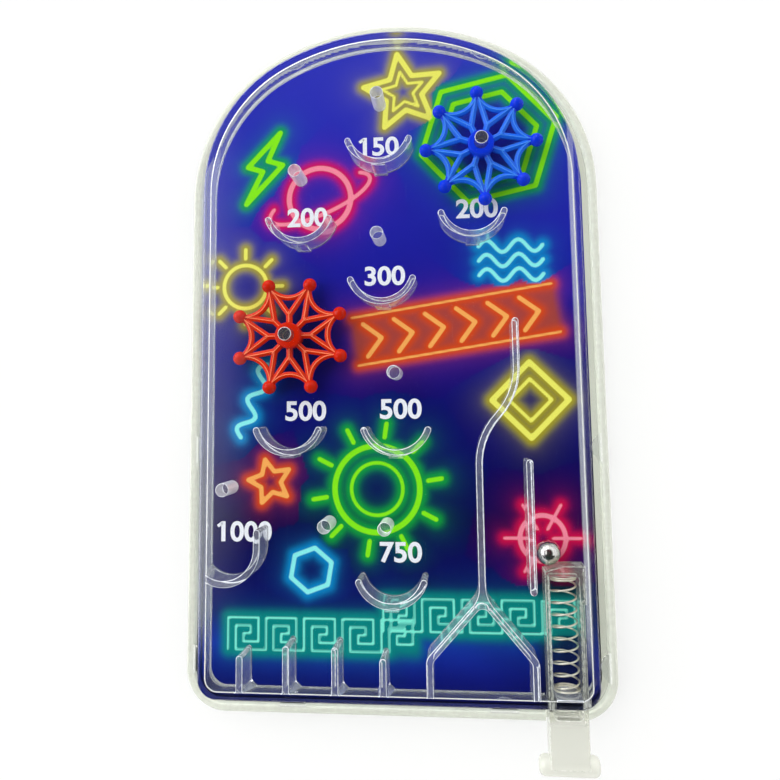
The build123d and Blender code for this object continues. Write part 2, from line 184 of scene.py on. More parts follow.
class Graph:
    """Node tree of a material or a world that is written in Python expressions."""

    def __init__(self, owner: Material | bpy.types.World) -> None:
        """Empties the owner's tree."""
        owner.use_nodes = True
        self.tree = owner.node_tree
        self.tree.nodes.clear()

    def node(self, kind: str, settings: dict | None = None, inputs: dict | None = None) -> NodeOutputs:
        """Adds a node.

        Args:
            kind: the node's type.
            settings: its properties, set first; "stops" fills a colour ramp.
            inputs: values, web colour codes or links of its sockets, by name or number.

        Returns:
            Its outputs.
        """
        made = self.tree.nodes.new(kind)
        for name, value in (settings or {}).items():
            if name == "stops":
                self.fill_ramp(made.color_ramp, value)
            else:
                setattr(made, name, value)
        for name, value in (inputs or {}).items():
            if isinstance(value, Socket):
                self.tree.links.new(value.output, made.inputs[name])
            else:
                made.inputs[name].default_value = self.fitted(value)
        return NodeOutputs(self, made)

    @staticmethod
    def fitted(value: object) -> object:
        """The value as a socket takes it: a web colour code becomes four numbers."""
        return (*linear(value), 1.0) if isinstance(value, str) else value

    @classmethod
    def fill_ramp(cls, ramp: bpy.types.ColorRamp, stops: Sequence[tuple[float, str]]) -> None:
        """Sets a colour ramp's stops.

        Args:
            ramp: the ramp.
            stops: places and web colour codes.
        """
        while len(ramp.elements) < len(stops):
            ramp.elements.new(1.0)
        for element, (place, code) in zip(ramp.elements, stops):
            element.position = place
            element.color = cls.fitted(code)

    def maths(self, operation: str, *values: Socket | float) -> Socket:
        """Result of a Math node on up to three values."""
        return self.node("ShaderNodeMath", {"operation": operation}, dict(enumerate(values)))["Value"]

    def mix(self, under: Socket | str, over: Socket | str, share: Socket | float) -> Socket:
        """Lays one colour over another, by the share of the second."""
        return self.node("ShaderNodeMix", {"data_type": "RGBA"}, {0: share, 6: under, 7: over})[2]

    @cached_property
    def place(self) -> Socket:
        """The piece's own coordinates in millimetres."""
        own = self.node("ShaderNodeTexCoord")["Object"]
        return self.node("ShaderNodeVectorMath", {"operation": "SCALE"}, {0: own, "Scale": 1 / MM})["Vector"]

    def split(self, vector: Socket) -> tuple[Socket, Socket, Socket]:
        """A vector's three parts."""
        parts = self.node("ShaderNodeSeparateXYZ", None, {"Vector": vector})
        return parts["X"], parts["Y"], parts["Z"]

    def noise(
        self, scale: float, detail: float = 2.0, pull: Triple | None = None, turn: float = 0.0,
    ) -> Socket:
        """Cloudy noise from 0 to 1 over the piece.

        Args:
            scale: how many clouds to the millimetre.
            detail: octaves of finer clouds.
            pull: factor along each axis, for streaks and scratches.
            turn: angle of the streaks about Z in radians.

        Returns:
            The noise.
        """
        vector = self.place
        if pull:
            pulled = {"Vector": vector, "Rotation": (0.0, 0.0, turn), "Scale": pull}
            vector = self.node("ShaderNodeMapping", None, pulled)["Vector"]
        inputs = {"Vector": vector, "Scale": scale, "Detail": detail}
        return self.node("ShaderNodeTexNoise", None, inputs)["Fac"]

    def bump(self, height: Socket, strength: float, distance: float) -> Socket:
        """Normal of a slightly uneven surface, from a relief, its share and its depth in metres."""
        inputs = {"Height": height, "Strength": strength, "Distance": distance}
        return self.node("ShaderNodeBump", None, inputs)["Normal"]

    def attribute(self, name: str) -> NodeOutputs:
        """Outputs of an attribute that the mesh carries."""
        return self.node("ShaderNodeAttribute", {"attribute_name": name})

    def surface(self, inputs: dict) -> Socket:
        """Shader of a plain surface from its sockets' values or links."""
        return self.node("ShaderNodeBsdfPrincipled", None, inputs)["BSDF"]

    def blend(self, one: Socket, other: Socket, share: Socket) -> Socket:
        """Mixes two shaders by the share of the second."""
        return self.node("ShaderNodeMixShader", None, {0: share, 1: one, 2: other})["Shader"]


class Finish(ABC):
    """A material that one shader makes."""

    name: str

    @abstractmethod
    def shader(self, graph: Graph) -> Socket:
        """Shader of the finish, drawn in the material's graph."""

    def make(self) -> Material:
        """Builds the material.

        Returns:
            The material.
        """
        material = bpy.data.materials.new(self.name)
        graph = Graph(material)
        graph.node("ShaderNodeOutputMaterial", None, {"Surface": self.shader(graph)})
        return material


@dataclass(frozen=True)
class Haze:
    """Milky stretch of a clear piece between two places along an axis; some stretches are painted glare and
    painted highlights.
    """

    axis: Axis
    low: float
    high: float
    share: float
    soft: float = 0.15 * MM
    within: "Haze | None" = None

    def cover(self, parts: Sequence[Socket]) -> Socket:
        """Share of milk that the stretch gives.

        Args:
            parts: own coordinates in millimetres.

        Returns:
            The share.
        """
        at = parts[self.axis.value]
        low, high, soft = self.low / MM, self.high / MM, self.soft / MM
        share = self.share * (at.ramp(low - soft, low) * (1 - at.ramp(high, high + soft)))
        return share * self.within.cover(parts) if self.within else share


@dataclass(frozen=True)
class ClearPlastic(Finish):
    """Clear moulded polystyrene with flow marks, hair scratches and milky stretches that scatter light; some
    milky edges and stretches are painted highlights and painted glare.
    """

    name: str
    tint: str = "#F8F9FC"
    milk: str = "#E6EAF2"
    passing: str = "#FAFBFA"
    roughness: float = 0.015
    scratch_roughness: float = 0.10
    scratch_scale: float = 1.4
    scratch_pull: Triple = (3.0, 0.05, 1.0)
    scratch_turn: float = math.radians(24)
    scratch_rise: Point = (0.70, 0.76)
    milk_roughness: float = 0.30
    ior: float = 1.49
    flow_scale: float = 0.12
    flow_depth: float = 0.02 * MM
    flow_share: float = 0.25
    streak: float = 0.8
    streak_pull: Triple = (1.1, 1.1, 0.10)
    streak_rise: Point = (0.30, 0.75)
    even: float = 0.0
    hazes: tuple[Haze, ...] = ()

    def milky(self, graph: Graph) -> Socket:
        """Share of milky surface, in streaks up the walls.

        Args:
            graph: the material's graph.

        Returns:
            The share.
        """
        parts = graph.split(graph.place)
        share: Socket | float = self.even
        for haze in self.hazes:
            share = haze.cover(parts).at_least(share)
        streaks = graph.noise(1.0, 3.0, self.streak_pull).ramp(*self.streak_rise)
        return share * (1 - self.streak / 2 + self.streak * streaks)

    def shader(self, graph: Graph) -> Socket:
        """Clear plastic that lamplight passes through to what lies below.

        Args:
            graph: the material's graph.

        Returns:
            The shader.
        """
        scratches = graph.noise(self.scratch_scale, 1.0, self.scratch_pull, self.scratch_turn)
        body = graph.surface({
            "Base Color": self.tint,
            "Roughness": self.roughness + self.scratch_roughness * scratches.ramp(*self.scratch_rise),
            "IOR": self.ior,
            "Transmission Weight": 1.0,
            "Normal": graph.bump(graph.noise(self.flow_scale, 1.0), self.flow_share, self.flow_depth),
        })
        if self.even or self.hazes:
            matt = graph.surface({"Base Color": self.milk, "Roughness": self.milk_roughness})
            body = graph.blend(body, matt, self.milky(graph))
        path = graph.node("ShaderNodeLightPath")
        lamplight = path["Is Shadow Ray"].at_least(path["Is Diffuse Ray"])
        open_way = graph.node("ShaderNodeBsdfTransparent", None, {"Color": self.passing})["BSDF"]
        return graph.blend(body, open_way, lamplight)


@dataclass(frozen=True)
class SpinnerPlastic(Finish):
    """Glossy moulded plastic, paler along the thin ribs than at the hub and the ball tips."""

    name: str
    thick: str
    thin: str
    centre: Point
    hub_r: float
    tip_r: float
    hub_soft: Point = (-0.2 * MM, 0.5 * MM)
    tip_soft: float = 0.6 * MM
    cloud_scale: float = 0.7
    cloud_share: float = 0.25
    roughness: float = 0.12
    grain_scale: float = 6.0
    grain_roughness: float = 0.10
    grain_share: float = 0.06
    grain_depth: float = 0.05 * MM
    gloss: float = 0.14

    def shader(self, graph: Graph) -> Socket:
        """Coloured plastic that is deeper where it is thick.

        Args:
            graph: the material's graph.

        Returns:
            The shader.
        """
        x, y, _ = graph.split(graph.place)
        across = x - self.centre[0] / MM
        along = y - self.centre[1] / MM
        radius = (across * across + along * along) ** 0.5
        hub = 1 - radius.ramp(*((self.hub_r + soft) / MM for soft in self.hub_soft))
        tips = radius.ramp((self.tip_r - self.tip_soft) / MM, self.tip_r / MM)
        ribs = graph.mix(self.thin, self.thick, self.cloud_share * graph.noise(self.cloud_scale))
        grain = graph.noise(self.grain_scale, 3.0)
        return graph.surface({
            "Base Color": graph.mix(ribs, self.thick, hub.at_least(tips)),
            "Roughness": self.roughness + self.grain_roughness * grain,
            "Specular IOR Level": self.gloss,
            "Normal": graph.bump(grain, self.grain_share, self.grain_depth),
        })


@dataclass(frozen=True)
class SpringSteel(Finish):
    """Bright drawn wire with die lines and a warm cast."""

    name: str = "spring_steel"
    colour: str = "#F6F0DE"
    stain: str = "#C8BC9C"
    stain_scale: float = 0.35
    stain_rise: Point = (0.45, 0.75)
    stain_share: float = 0.35
    roughness: float = 0.30
    line_pull: Triple = (9.0, 9.0, 0.6)
    line_roughness: float = 0.16

    def shader(self, graph: Graph) -> Socket:
        """Metal with lines along the wire.

        Args:
            graph: the material's graph.

        Returns:
            The shader.
        """
        lines = graph.noise(1.0, 3.0, self.line_pull)
        stains = graph.noise(self.stain_scale).ramp(*self.stain_rise)
        return graph.surface({
            "Base Color": graph.mix(self.colour, self.stain, self.stain_share * stains),
            "Metallic": 1.0,
            "Roughness": self.roughness + self.line_roughness * lines,
        })


@dataclass(frozen=True)
class BallSteel(Finish):
    """Polished bearing ball with hair scratches and faint smears."""

    name: str = "ball_steel"
    colour: str = "#D6D4CC"
    smear: str = "#B8B2A4"
    smear_scale: float = 0.8
    smear_rise: Point = (0.4, 0.8)
    smear_share: float = 0.5
    roughness: float = 0.05
    hair_roughness: float = 0.10
    hair_scale: float = 1.6
    hair_pull: Triple = (8.0, 0.9, 8.0)
    hair_turn: float = 0.7
    hair_rise: Point = (0.60, 0.72)
    smear_roughness: float = 0.05

    def shader(self, graph: Graph) -> Socket:
        """Polished metal.

        Args:
            graph: the material's graph.

        Returns:
            The shader.
        """
        hairs = graph.noise(self.hair_scale, 2.0, self.hair_pull, self.hair_turn).ramp(*self.hair_rise)
        smears = graph.noise(self.smear_scale).ramp(*self.smear_rise)
        return graph.surface({
            "Base Color": graph.mix(self.colour, self.smear, self.smear_share * smears),
            "Metallic": 1.0,
            "Roughness": self.roughness + self.hair_roughness * hairs + self.smear_roughness * smears,
        })


@dataclass(frozen=True)
class CardPrint(Finish):
    """Printed board: a blue ground that darkens down the card, neon lines with glow, and a plain grey back.

    The widths are in millimetres. Up to bare_edge from the case's outside the board is unprinted, a little
    more at the right and at the top, and up to dark_edge a painted shade darkens the print, most at the
    bottom of the card.
    """

    name: str
    half_l: float
    back_z: float
    has_lines: bool = False
    blues: tuple[tuple[float, str], ...] = (
        (0.000, "#04042C"), (0.045, "#0C1478"), (0.090, "#1428A4"), (0.135, "#08096A"), (0.260, "#03024A"),
        (0.440, "#0A0A74"), (0.600, "#16189A"), (0.800, "#2629B4"), (1.000, "#3338BE"),
    )
    deep: str = "#03003C"
    deep_scale: float = 0.045
    deep_rise: Point = (0.45, 0.75)
    deep_end: Point = (0.45, 0.90)
    deep_share: float = 0.28
    dark: str = "#04020E"
    bare: str = "#DEDED0"
    back: str = "#C9C8C2"
    bare_edge: float = 1.85
    bare_right: float = 1.0
    bare_top: float = 0.25
    right_x: Point = (30.0, 38.0)
    top_share: Point = (0.80, 0.97)
    bare_play: float = 0.02
    dark_edge: float = 3.2
    dark_soft: float = 0.7
    dark_share: float = 0.97
    dark_fade: float = 0.72
    dark_rise: Point = (0.12, 0.60)
    core_soft: float = 0.12
    halo_reach: float = 1.15
    halo_share: float = 0.80
    glow_reach: float = 2.2
    glow_share: float = 0.22
    roughness: float = 0.42
    fibre_scale: float = 3.0
    fibre_roughness: float = 0.16
    fibre_share: float = 0.06
    gloss: float = 0.02

    def ground(self, graph: Graph) -> Socket:
        """Blue ground of the print, its dark border of painted shade and the bare board beyond.

        Args:
            graph: the material's graph.

        Returns:
            The ground's colour.
        """
        x, y, z = graph.split(graph.place)
        height = y / (2 * self.half_l / MM) + 0.5
        blue = graph.node("ShaderNodeValToRGB", {"stops": self.blues}, {"Fac": height})["Color"]
        drift = graph.noise(self.deep_scale, 1.0).ramp(*self.deep_rise) * (1 - height.ramp(*self.deep_end))
        blue = graph.mix(blue, self.deep, self.deep_share * drift)
        # The board under the printed sheet has no depths of its own and counts as its outermost strip.
        depth: Socket | float = self.bare_edge
        inside: Socket | float = 0.0
        if self.has_lines:
            depth = graph.attribute("edge_depth")["Fac"]
            inside = depth.ramp(self.dark_edge, self.dark_edge + self.dark_soft)
        # Painted shade: a dark band along the card's edge, under the cover's wall and flange, strongest at
        # the bottom.
        dark = (1 - inside) * (self.dark_share - self.dark_fade * height.ramp(*self.dark_rise))
        blue = graph.mix(blue, self.dark, dark)
        bare = self.bare_edge + self.bare_right * x.ramp(*self.right_x)
        bare = bare + self.bare_top * height.ramp(*self.top_share)
        blue = graph.mix(blue, self.bare, bare - self.bare_play > depth)
        return graph.mix(blue, self.back, z < self.back_z / MM)

    def lines(self, graph: Graph, ground: Socket) -> Socket:
        """Neon lines over the ground, from the sheet's own attributes.

        Args:
            graph: the material's graph.
            ground: the colour below.

        Returns:
            The colour with lines and glow.
        """
        gap = graph.attribute("line_gap")["Fac"]
        halo = graph.attribute("line_halo")["Color"]
        # The panel colours also hold a dark patch of painted shade under the plunger.
        panel = graph.attribute("panel")
        colour = graph.mix(ground, panel["Color"], panel["Alpha"])
        outside = gap.at_least(0.0)
        wide = graph.maths("EXPONENT", -1.0 * outside / self.glow_reach)
        near = graph.maths("EXPONENT", -1.0 * (outside / self.halo_reach) ** 2)
        for share in (self.glow_share * wide, self.halo_share * near):
            colour = graph.mix(colour, halo, share)
        core = 1 - gap.ramp(-self.core_soft, self.core_soft)
        return graph.mix(colour, graph.attribute("line_core")["Color"], core)

    def shader(self, graph: Graph) -> Socket:
        """Print on a card with fine fibres.

        Args:
            graph: the material's graph.

        Returns:
            The shader.
        """
        colour = self.ground(graph)
        if self.has_lines:
            colour = self.lines(graph, colour)
        fibre = graph.noise(self.fibre_scale, 4.0)
        return graph.surface({
            "Base Color": graph.mix(colour, "#000000", self.fibre_share * fibre),
            "Roughness": self.roughness + self.fibre_roughness * fibre,
            "Specular IOR Level": self.gloss,
        })


@dataclass(frozen=True)
class WhiteInk(Finish):
    """White screen print of the score numbers."""

    name: str = "white_ink"
    fresh: str = "#F4F5FC"
    worn: str = "#D8DBEE"
    roughness: float = 0.45
    wear_scale: float = 2.2
    wear_rise: Point = (0.5, 0.8)
    wear_roughness: float = 0.10

    def shader(self, graph: Graph) -> Socket:
        """Slightly worn ink."""
        wear = graph.noise(self.wear_scale, 4.0)
        return graph.surface({
            "Base Color": graph.mix(self.fresh, self.worn, wear.ramp(*self.wear_rise)),
            "Roughness": self.roughness + self.wear_roughness * wear,
        })


@dataclass(frozen=True)
class FloorWhite(Finish):
    """White table that shows white to the camera and keeps the object's shadow."""

    name: str = "floor_white"
    colour: str = "#F4F4F2"
    own_light: float = 0.62

    def shader(self, graph: Graph) -> Socket:
        """Matt white with some light of its own where the camera sees it.

        Args:
            graph: the material's graph.

        Returns:
            The shader.
        """
        path = graph.node("ShaderNodeLightPath")
        seen = (path["Is Camera Ray"] + path["Is Transmission Ray"] + path["Is Glossy Ray"]) > 0.5
        seen = seen * (path["Diffuse Depth"] < 0.5)
        matt = graph.node("ShaderNodeBsdfDiffuse", None, {"Color": self.colour})["BSDF"]
        glow = graph.node("ShaderNodeEmission", None, {"Strength": 1.0})["Emission"]
        return graph.blend(matt, glow, seen * self.own_light)


def edges_since(bm: BMesh, before: set) -> list[BMEdge]:
    """Edges that were not in the mesh before."""
    return [edge for edge in bm.edges if edge not in before]


def faces_since(bm: BMesh, before: set) -> list[BMFace]:
    """Faces that were not in the mesh before."""
    return [face for face in bm.faces if face not in before]


def only(items: Iterable, kind: type) -> list:
    """The items of one bmesh kind."""
    return [item for item in items if isinstance(item, kind)]


def raise_faces(bm: BMesh, faces: Sequence[BMFace], height: float) -> None:
    """Pulls the faces of one flat region up into a closed solid."""
    made = bmesh.ops.extrude_face_region(bm, geom=faces)["geom"]
    bmesh.ops.translate(bm, verts=only(made, BMVert), vec=UP * height)


def sharp_edges(edges: Iterable[BMEdge], least: float = 0.5) -> list[BMEdge]:
    """Those edges whose faces meet at more than an angle in radians."""
    return [edge for edge in edges if edge.is_manifold and edge.calc_face_angle() > least]


def level_edges(edges: Iterable[BMEdge]) -> list[BMEdge]:
    """The sharp ones among edges that run level."""
    return [e for e in sharp_edges(edges) if abs(e.verts[0].co.z - e.verts[1].co.z) < LEVEL_REACH]


def round_edges(bm: BMesh, edges: Sequence[BMEdge], radius: float, segments: int = 4) -> list[BMFace]:
    """Rounds edges by a radius in metres and gives the faces of the rounding."""
    return bmesh.ops.bevel(
        bm, geom=list(edges), offset=radius, offset_type="OFFSET", segments=segments, profile=0.5,
        affect="EDGES", clamp_overlap=True, material=-1,
    )["faces"]


def round_highlight_edges(bm: BMesh, edges: Sequence[BMEdge], radius: float, segments: int = 3) -> None:
    """Rounds edges and gives the rounding the piece's second finish, a paler one that paints a highlight."""
    for face in round_edges(bm, edges, radius, segments):
        face.material_index = 1


def box_solid(bm: BMesh, low: Vector, high: Vector) -> None:
    """Adds a box between two corners."""
    size = Matrix.Diagonal((*(high - low), 1.0))
    bmesh.ops.create_cube(bm, size=1.0, matrix=Matrix.Translation((low + high) / 2) @ size)


def round_bar(bm: BMesh, place: Matrix, diameter: float, length: float, sides: int) -> None:
    """Adds a bar along the Z axis of its place, about its middle."""
    radius = diameter / 2
    bmesh.ops.create_cone(
        bm, cap_ends=True, segments=sides, radius1=radius, radius2=radius, depth=length, matrix=place,
    )


class Pen:
    """Draws a closed plan outline in a bmesh, a stroke at a time."""

    def __init__(self, bm: BMesh, start: Point, z: float) -> None:
        """Puts the pen down at a point."""
        self.bm = bm
        self.z = z
        self.before = set(bm.edges)
        self.first = bmesh.ops.create_vert(bm, co=(*start, z))["vert"][0]
        self.tip = self.first

    def line(self, end: Point) -> "Pen":
        """Draws a straight stroke to a point."""
        self.tip = bmesh.ops.extrude_vert_indiv(self.bm, verts=[self.tip])["verts"][0]
        self.tip.co = (*end, self.z)
        return self

    def arc(self, centre: Point, degrees: float, steps: int) -> "Pen":
        """Draws an arc about a centre.

        Args:
            centre: the arc's centre.
            degrees: how far round, counter-clockwise.
            steps: straight pieces along it.

        Returns:
            The pen.
        """
        angle = math.radians(degrees)
        last = bmesh.ops.spin(
            self.bm, geom=[self.tip], cent=(*centre, self.z), axis=UP, angle=angle, steps=steps,
        )["geom_last"]
        self.tip = only(last, BMVert)[0]
        return self

    def close(self) -> list[BMEdge]:
        """Joins the last point to the first and gives the outline's edges."""
        bmesh.ops.pointmerge(self.bm, verts=[self.first, self.tip], merge_co=self.first.co.copy())
        return edges_since(self.bm, self.before)


class RailPen:
    """Draws a rail in plan as a strip of faces, then raises it to a wall."""

    ROUND_STEPS = 8
    STEP_DEG = 6.0

    def __init__(self, bm: BMesh, start: Point, heading: float, width: float, z: float) -> None:
        """Puts a strip's first edge down.

        Args:
            bm: the mesh.
            start: middle of the first edge.
            heading: direction in degrees.
            width: the rail's thickness.
            z: height of the strip.
        """
        self.bm = bm
        self.width = width
        self.before = set(bm.faces)
        self.at = Vector((*start, z))
        self.heading = math.radians(heading)
        aside = self.left() * width / 2
        ends = [bmesh.ops.create_vert(bm, co=self.at + side * aside)["vert"][0] for side in (1, -1)]
        self.edge = bm.edges.new(ends)
        self.first = self.edge

    def way(self) -> Vector:
        """Direction of the pen."""
        return Vector((math.cos(self.heading), math.sin(self.heading), 0.0))

    def left(self) -> Vector:
        """Direction to the left of the pen."""
        return UP.cross(self.way())

    def forward(self, length: float, width: float | None = None) -> "RailPen":
        """Draws a straight stretch.

        Args:
            length: how far.
            width: thickness at its end, if it changes.

        Returns:
            The pen.
        """
        made = bmesh.ops.extrude_edge_only(self.bm, edges=[self.edge])["geom"]
        ends = only(made, BMVert)
        bmesh.ops.translate(self.bm, verts=ends, vec=self.way() * length)
        self.at = self.at + self.way() * length
        if width is not None:
            for end in ends:
                end.co = self.at + (end.co - self.at) * (width / self.width)
            self.width = width
        self.edge = next(edge for edge in only(made, BMEdge) if all(v in ends for v in edge.verts))
        return self

    def turn(self, degrees: float, radius: float) -> "RailPen":
        """Draws a bend, to the left for a positive angle.

        Args:
            degrees: angle of the bend.
            radius: radius of its middle line.

        Returns:
            The pen.
        """
        angle = math.radians(degrees)
        centre = self.at + self.left() * math.copysign(radius, degrees)
        steps = max(2, round(abs(degrees) / self.STEP_DEG))
        last = bmesh.ops.spin(
            self.bm, geom=[self.edge, *self.edge.verts], cent=centre, axis=UP, angle=angle, steps=steps,
        )["geom_last"]
        self.edge = only(last, BMEdge)[0]
        self.at = centre + Matrix.Rotation(angle, 3, "Z") @ (self.at - centre)
        self.heading += angle
        return self

    def follow(self, points: Sequence[Point], bend_r: float) -> "RailPen":
        """Draws straight stretches through points with rounded bends between them.

        Args:
            points: the corners after the start.
            bend_r: radius of each bend.

        Returns:
            The pen.
        """
        corners = [self.at.xy, *(Vector(point) for point in points)]
        used = 0.0
        for at, corner, after in zip(corners, corners[1:], corners[2:]):
            run = (corner - at).length - used
            bend = (after - corner).angle_signed(corner - at)
            used = bend_r * math.tan(abs(bend) / 2)
            self.forward(run - used).turn(math.degrees(bend), bend_r)
        return self.forward((corners[-1] - corners[-2]).length - used)

    def round_end(self, edge: BMEdge) -> None:
        """Closes one end of the strip with a half circle.

        Args:
            edge: the end's edge.
        """
        start, stop = edge.verts
        middle = (start.co + stop.co) / 2
        inside = edge.link_faces[0].calc_center_median() - middle
        turn = math.pi if UP.cross(start.co - middle).dot(inside) < 0 else -math.pi
        before = set(self.bm.edges)
        last = bmesh.ops.spin(
            self.bm, geom=[start], cent=middle, axis=UP, angle=turn, steps=self.ROUND_STEPS,
        )["geom_last"]
        bmesh.ops.pointmerge(self.bm, verts=[stop, *only(last, BMVert)], merge_co=stop.co.copy())
        bmesh.ops.contextual_create(self.bm, geom=[*edges_since(self.bm, before), edge])

    def rounded(self, first: bool = True, last: bool = True) -> "RailPen":
        """Rounds the strip's ends.

        Args:
            first: whether the start is rounded.
            last: whether the finish is rounded.

        Returns:
            The pen.
        """
        for edge, wanted in ((self.first, first), (self.edge, last)):
            if wanted:
                self.round_end(edge)
        return self

    def wall(self, height: float, edge_r: float) -> None:
        """Raises the strip to a wall with round edges at its foot and its top, painted pale as a highlight.

        Args:
            height: the wall's height.
            edge_r: radius along its level edges.
        """
        raise_faces(self.bm, faces_since(self.bm, self.before), height)
        faces = faces_since(self.bm, self.before)
        bmesh.ops.recalc_face_normals(self.bm, faces=faces)
        round_highlight_edges(self.bm, level_edges({edge for face in faces for edge in face.edges}), edge_r)


@dataclass
class CaseOutline:
    """Plan of the case: an arched top of three arcs, straight sides and round lower corners."""

    half_w: float
    half_l: float
    arch_rise: float = 36.2 * MM
    shoulder_deg: float = 63.0
    corner_r: float = 8.0 * MM
    corner_steps: int = 14
    arch_steps: int = 28

    def __post_init__(self) -> None:
        """Works the arch's radii out from its rise and the angle where its arcs meet."""
        shoulder = math.radians(self.shoulder_deg)
        share = (1 - math.sin(shoulder)) / math.cos(shoulder)
        self.side_r = (self.arch_rise - self.half_w * share) / (1 - share)
        self.crown_r = self.side_r + (self.half_w - self.side_r) / math.cos(shoulder)
        self.side_y = self.half_l - self.arch_rise
        self.side_x = self.half_w - self.side_r
        self.crown_y = self.half_l - self.crown_r

    def draw(self, bm: BMesh, inset: float, z: float) -> list[BMEdge]:
        """Draws the outline moved inwards.

        Args:
            bm: the mesh.
            inset: how far inwards.
            z: at which height.

        Returns:
            The outline's edges.
        """
        half = self.half_w - inset
        bottom = inset - self.half_l
        corner = self.corner_r - inset
        low = bottom + corner
        pen = Pen(bm, (corner - half, bottom), z)
        pen.line((half - corner, bottom)).arc((half - corner, low), 90, self.corner_steps)
        pen.line((half, self.side_y)).arc((self.side_x, self.side_y), self.shoulder_deg, self.arch_steps)
        pen.arc((0.0, self.crown_y), 180 - 2 * self.shoulder_deg, self.arch_steps)
        pen.arc((-self.side_x, self.side_y), self.shoulder_deg, self.arch_steps)
        pen.line((-half, low)).arc((corner - half, low), 90, self.corner_steps)
        return pen.close()

    def depth(self, spots: np.ndarray) -> np.ndarray:
        """How far inside the outline some places lie.

        Args:
            spots: places in plan.

        Returns:
            Their distances from the outline, negative outside.
        """
        x, y = np.abs(spots[:, 0]), spots[:, 1]
        low = self.corner_r - self.half_l
        in_x = self.half_w - self.corner_r
        straight = np.minimum(self.half_w - x, y + self.half_l)
        corner = self.corner_r - np.hypot(x - in_x, y - low)
        side = self.side_r - np.hypot(x - self.side_x, y - self.side_y)
        crown = self.crown_r - np.hypot(x, y - self.crown_y)
        beside = np.arctan2(y - self.side_y, x - self.side_x) < math.radians(self.shoulder_deg)
        arch = np.where(beside, side, crown)
        return np.where(y > self.side_y, arch, np.where((y < low) & (x > in_x), corner, straight))

    def sweep(self, bm: BMesh, section: Sequence[Point]) -> list[list[BMEdge]]:
        """Carries a section round the outline and closes it at both ends.

        Args:
            bm: the mesh.
            section: insets and heights of the section's corners.

        Returns:
            The outline's edges at each corner.
        """
        loops = [self.draw(bm, inset, z) for inset, z in section]
        for one, other in zip(loops, loops[1:]):
            # Two level loops are parted for a moment, so that the strip between them can't turn over.
            level = one[0].verts[0].co.z == other[0].verts[0].co.z
            parted = [vert for vert in bm.verts if level and any(edge in other for edge in vert.link_edges)]
            bmesh.ops.translate(bm, verts=parted, vec=UP * MM)
            bmesh.ops.bridge_loops(bm, edges=one + other)
            bmesh.ops.translate(bm, verts=parted, vec=-UP * MM)
        for cap in (loops[0], loops[-1]):
            bmesh.ops.edgeloop_fill(bm, edges=cap)
        return loops


def shade(piece: Object, smooth_deg: float) -> None:
    """Shades a piece smooth except along edges that are sharper than an angle."""
    piece.data.shade_smooth()
    piece.data.set_sharp_from_angle(angle=math.radians(smooth_deg))


def new_piece(name: str, bm: BMesh, finishes: Sequence[Material] = (), smooth_deg: float = 30.0) -> Object:
    """Makes an object of a finished bmesh.

    Args:
        name: the piece's name.
        bm: its mesh, which is freed.
        finishes: its materials, in the order of its faces' numbers.
        smooth_deg: edges flatter than this are shaded smooth.

    Returns:
        The object.
    """
    bmesh.ops.recalc_face_normals(bm, faces=bm.faces)
    mesh = bpy.data.meshes.new(name)
    bm.to_mesh(mesh)
    bm.free()
    for finish in finishes:
        mesh.materials.append(finish)
    piece = bpy.data.objects.new(name, mesh)
    bpy.context.scene.collection.objects.link(piece)
    shade(piece, smooth_deg)
    return piece


def blocks(name: str, *corners: tuple[Vector, Vector]) -> Object:
    """Makes one object of plain boxes.

    Args:
        name: the object's name.
        corners: lowest and highest corner of each box.

    Returns:
        The object.
    """
    bm = bmesh.new()
    for low, high in corners:
        box_solid(bm, low, high)
    return new_piece(name, bm)


def settled(piece: Object) -> bpy.types.Mesh:
    """A piece's mesh as its modifiers or its curves leave it."""
    depsgraph = bpy.context.evaluated_depsgraph_get()
    return bpy.data.meshes.new_from_object(piece.evaluated_get(depsgraph))


def work_in(piece: Object, tool: Object, joining: Joining, fuse: bool = False) -> None:
    """Adds one solid to another or cuts it out, and removes the tool.

    Args:
        piece: the solid that stays.
        tool: the solid worked in.
        joining: adding or cutting.
        fuse: whether the solids that the piece is made of are fused as well.
    """
    modifier = piece.modifiers.new("work", "BOOLEAN")
    modifier.object = tool
    modifier.operation = joining.value
    modifier.solver = "EXACT"
    modifier.use_self = fuse
    mesh = settled(piece)
    piece.modifiers.clear()
    piece.data = mesh
    bpy.data.objects.remove(tool)


def weld(piece: Object, reach: float = 0.002 * MM) -> None:
    """Joins points of a piece that lie on one another.

    Args:
        piece: the piece.
        reach: how close two points must be.
    """
    bm = bmesh.new()
    bm.from_mesh(piece.data)
    bmesh.ops.remove_doubles(bm, verts=bm.verts[:], dist=reach)
    bmesh.ops.dissolve_degenerate(bm, edges=bm.edges[:], dist=reach)
    bm.to_mesh(piece.data)
    bm.free()


def crisp_flats(piece: Object, smooth_deg: float = 30.0) -> None:
    """Shades a worked piece so that its flat faces stay flat beside rounded edges.

    Args:
        piece: the piece.
        smooth_deg: edges flatter than this are shaded smooth.
    """
    shade(piece, smooth_deg)
    modifier = piece.modifiers.new("flats", "WEIGHTED_NORMAL")
    modifier.keep_sharp = True
    modifier.weight = 100


def dress(piece: Object, body: str, slot: str, *nodes: str) -> Object:
    """Attaches a piece to its body and hides the CAD nodes that it stands for.

    Args:
        piece: the piece.
        body: the CAD body it moves with.
        slot: not used.
        nodes: CAD nodes that it replaces.

    Returns:
        The piece.
    """
    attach(piece, body)
    if nodes:
        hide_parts(*nodes)
    return piece


class SubAssembly(ABC):
    """A part of the game that makes its own pieces."""

    @abstractmethod
    def build(self) -> list[Object]:
        """Builds and dresses the pieces, and gives them back."""


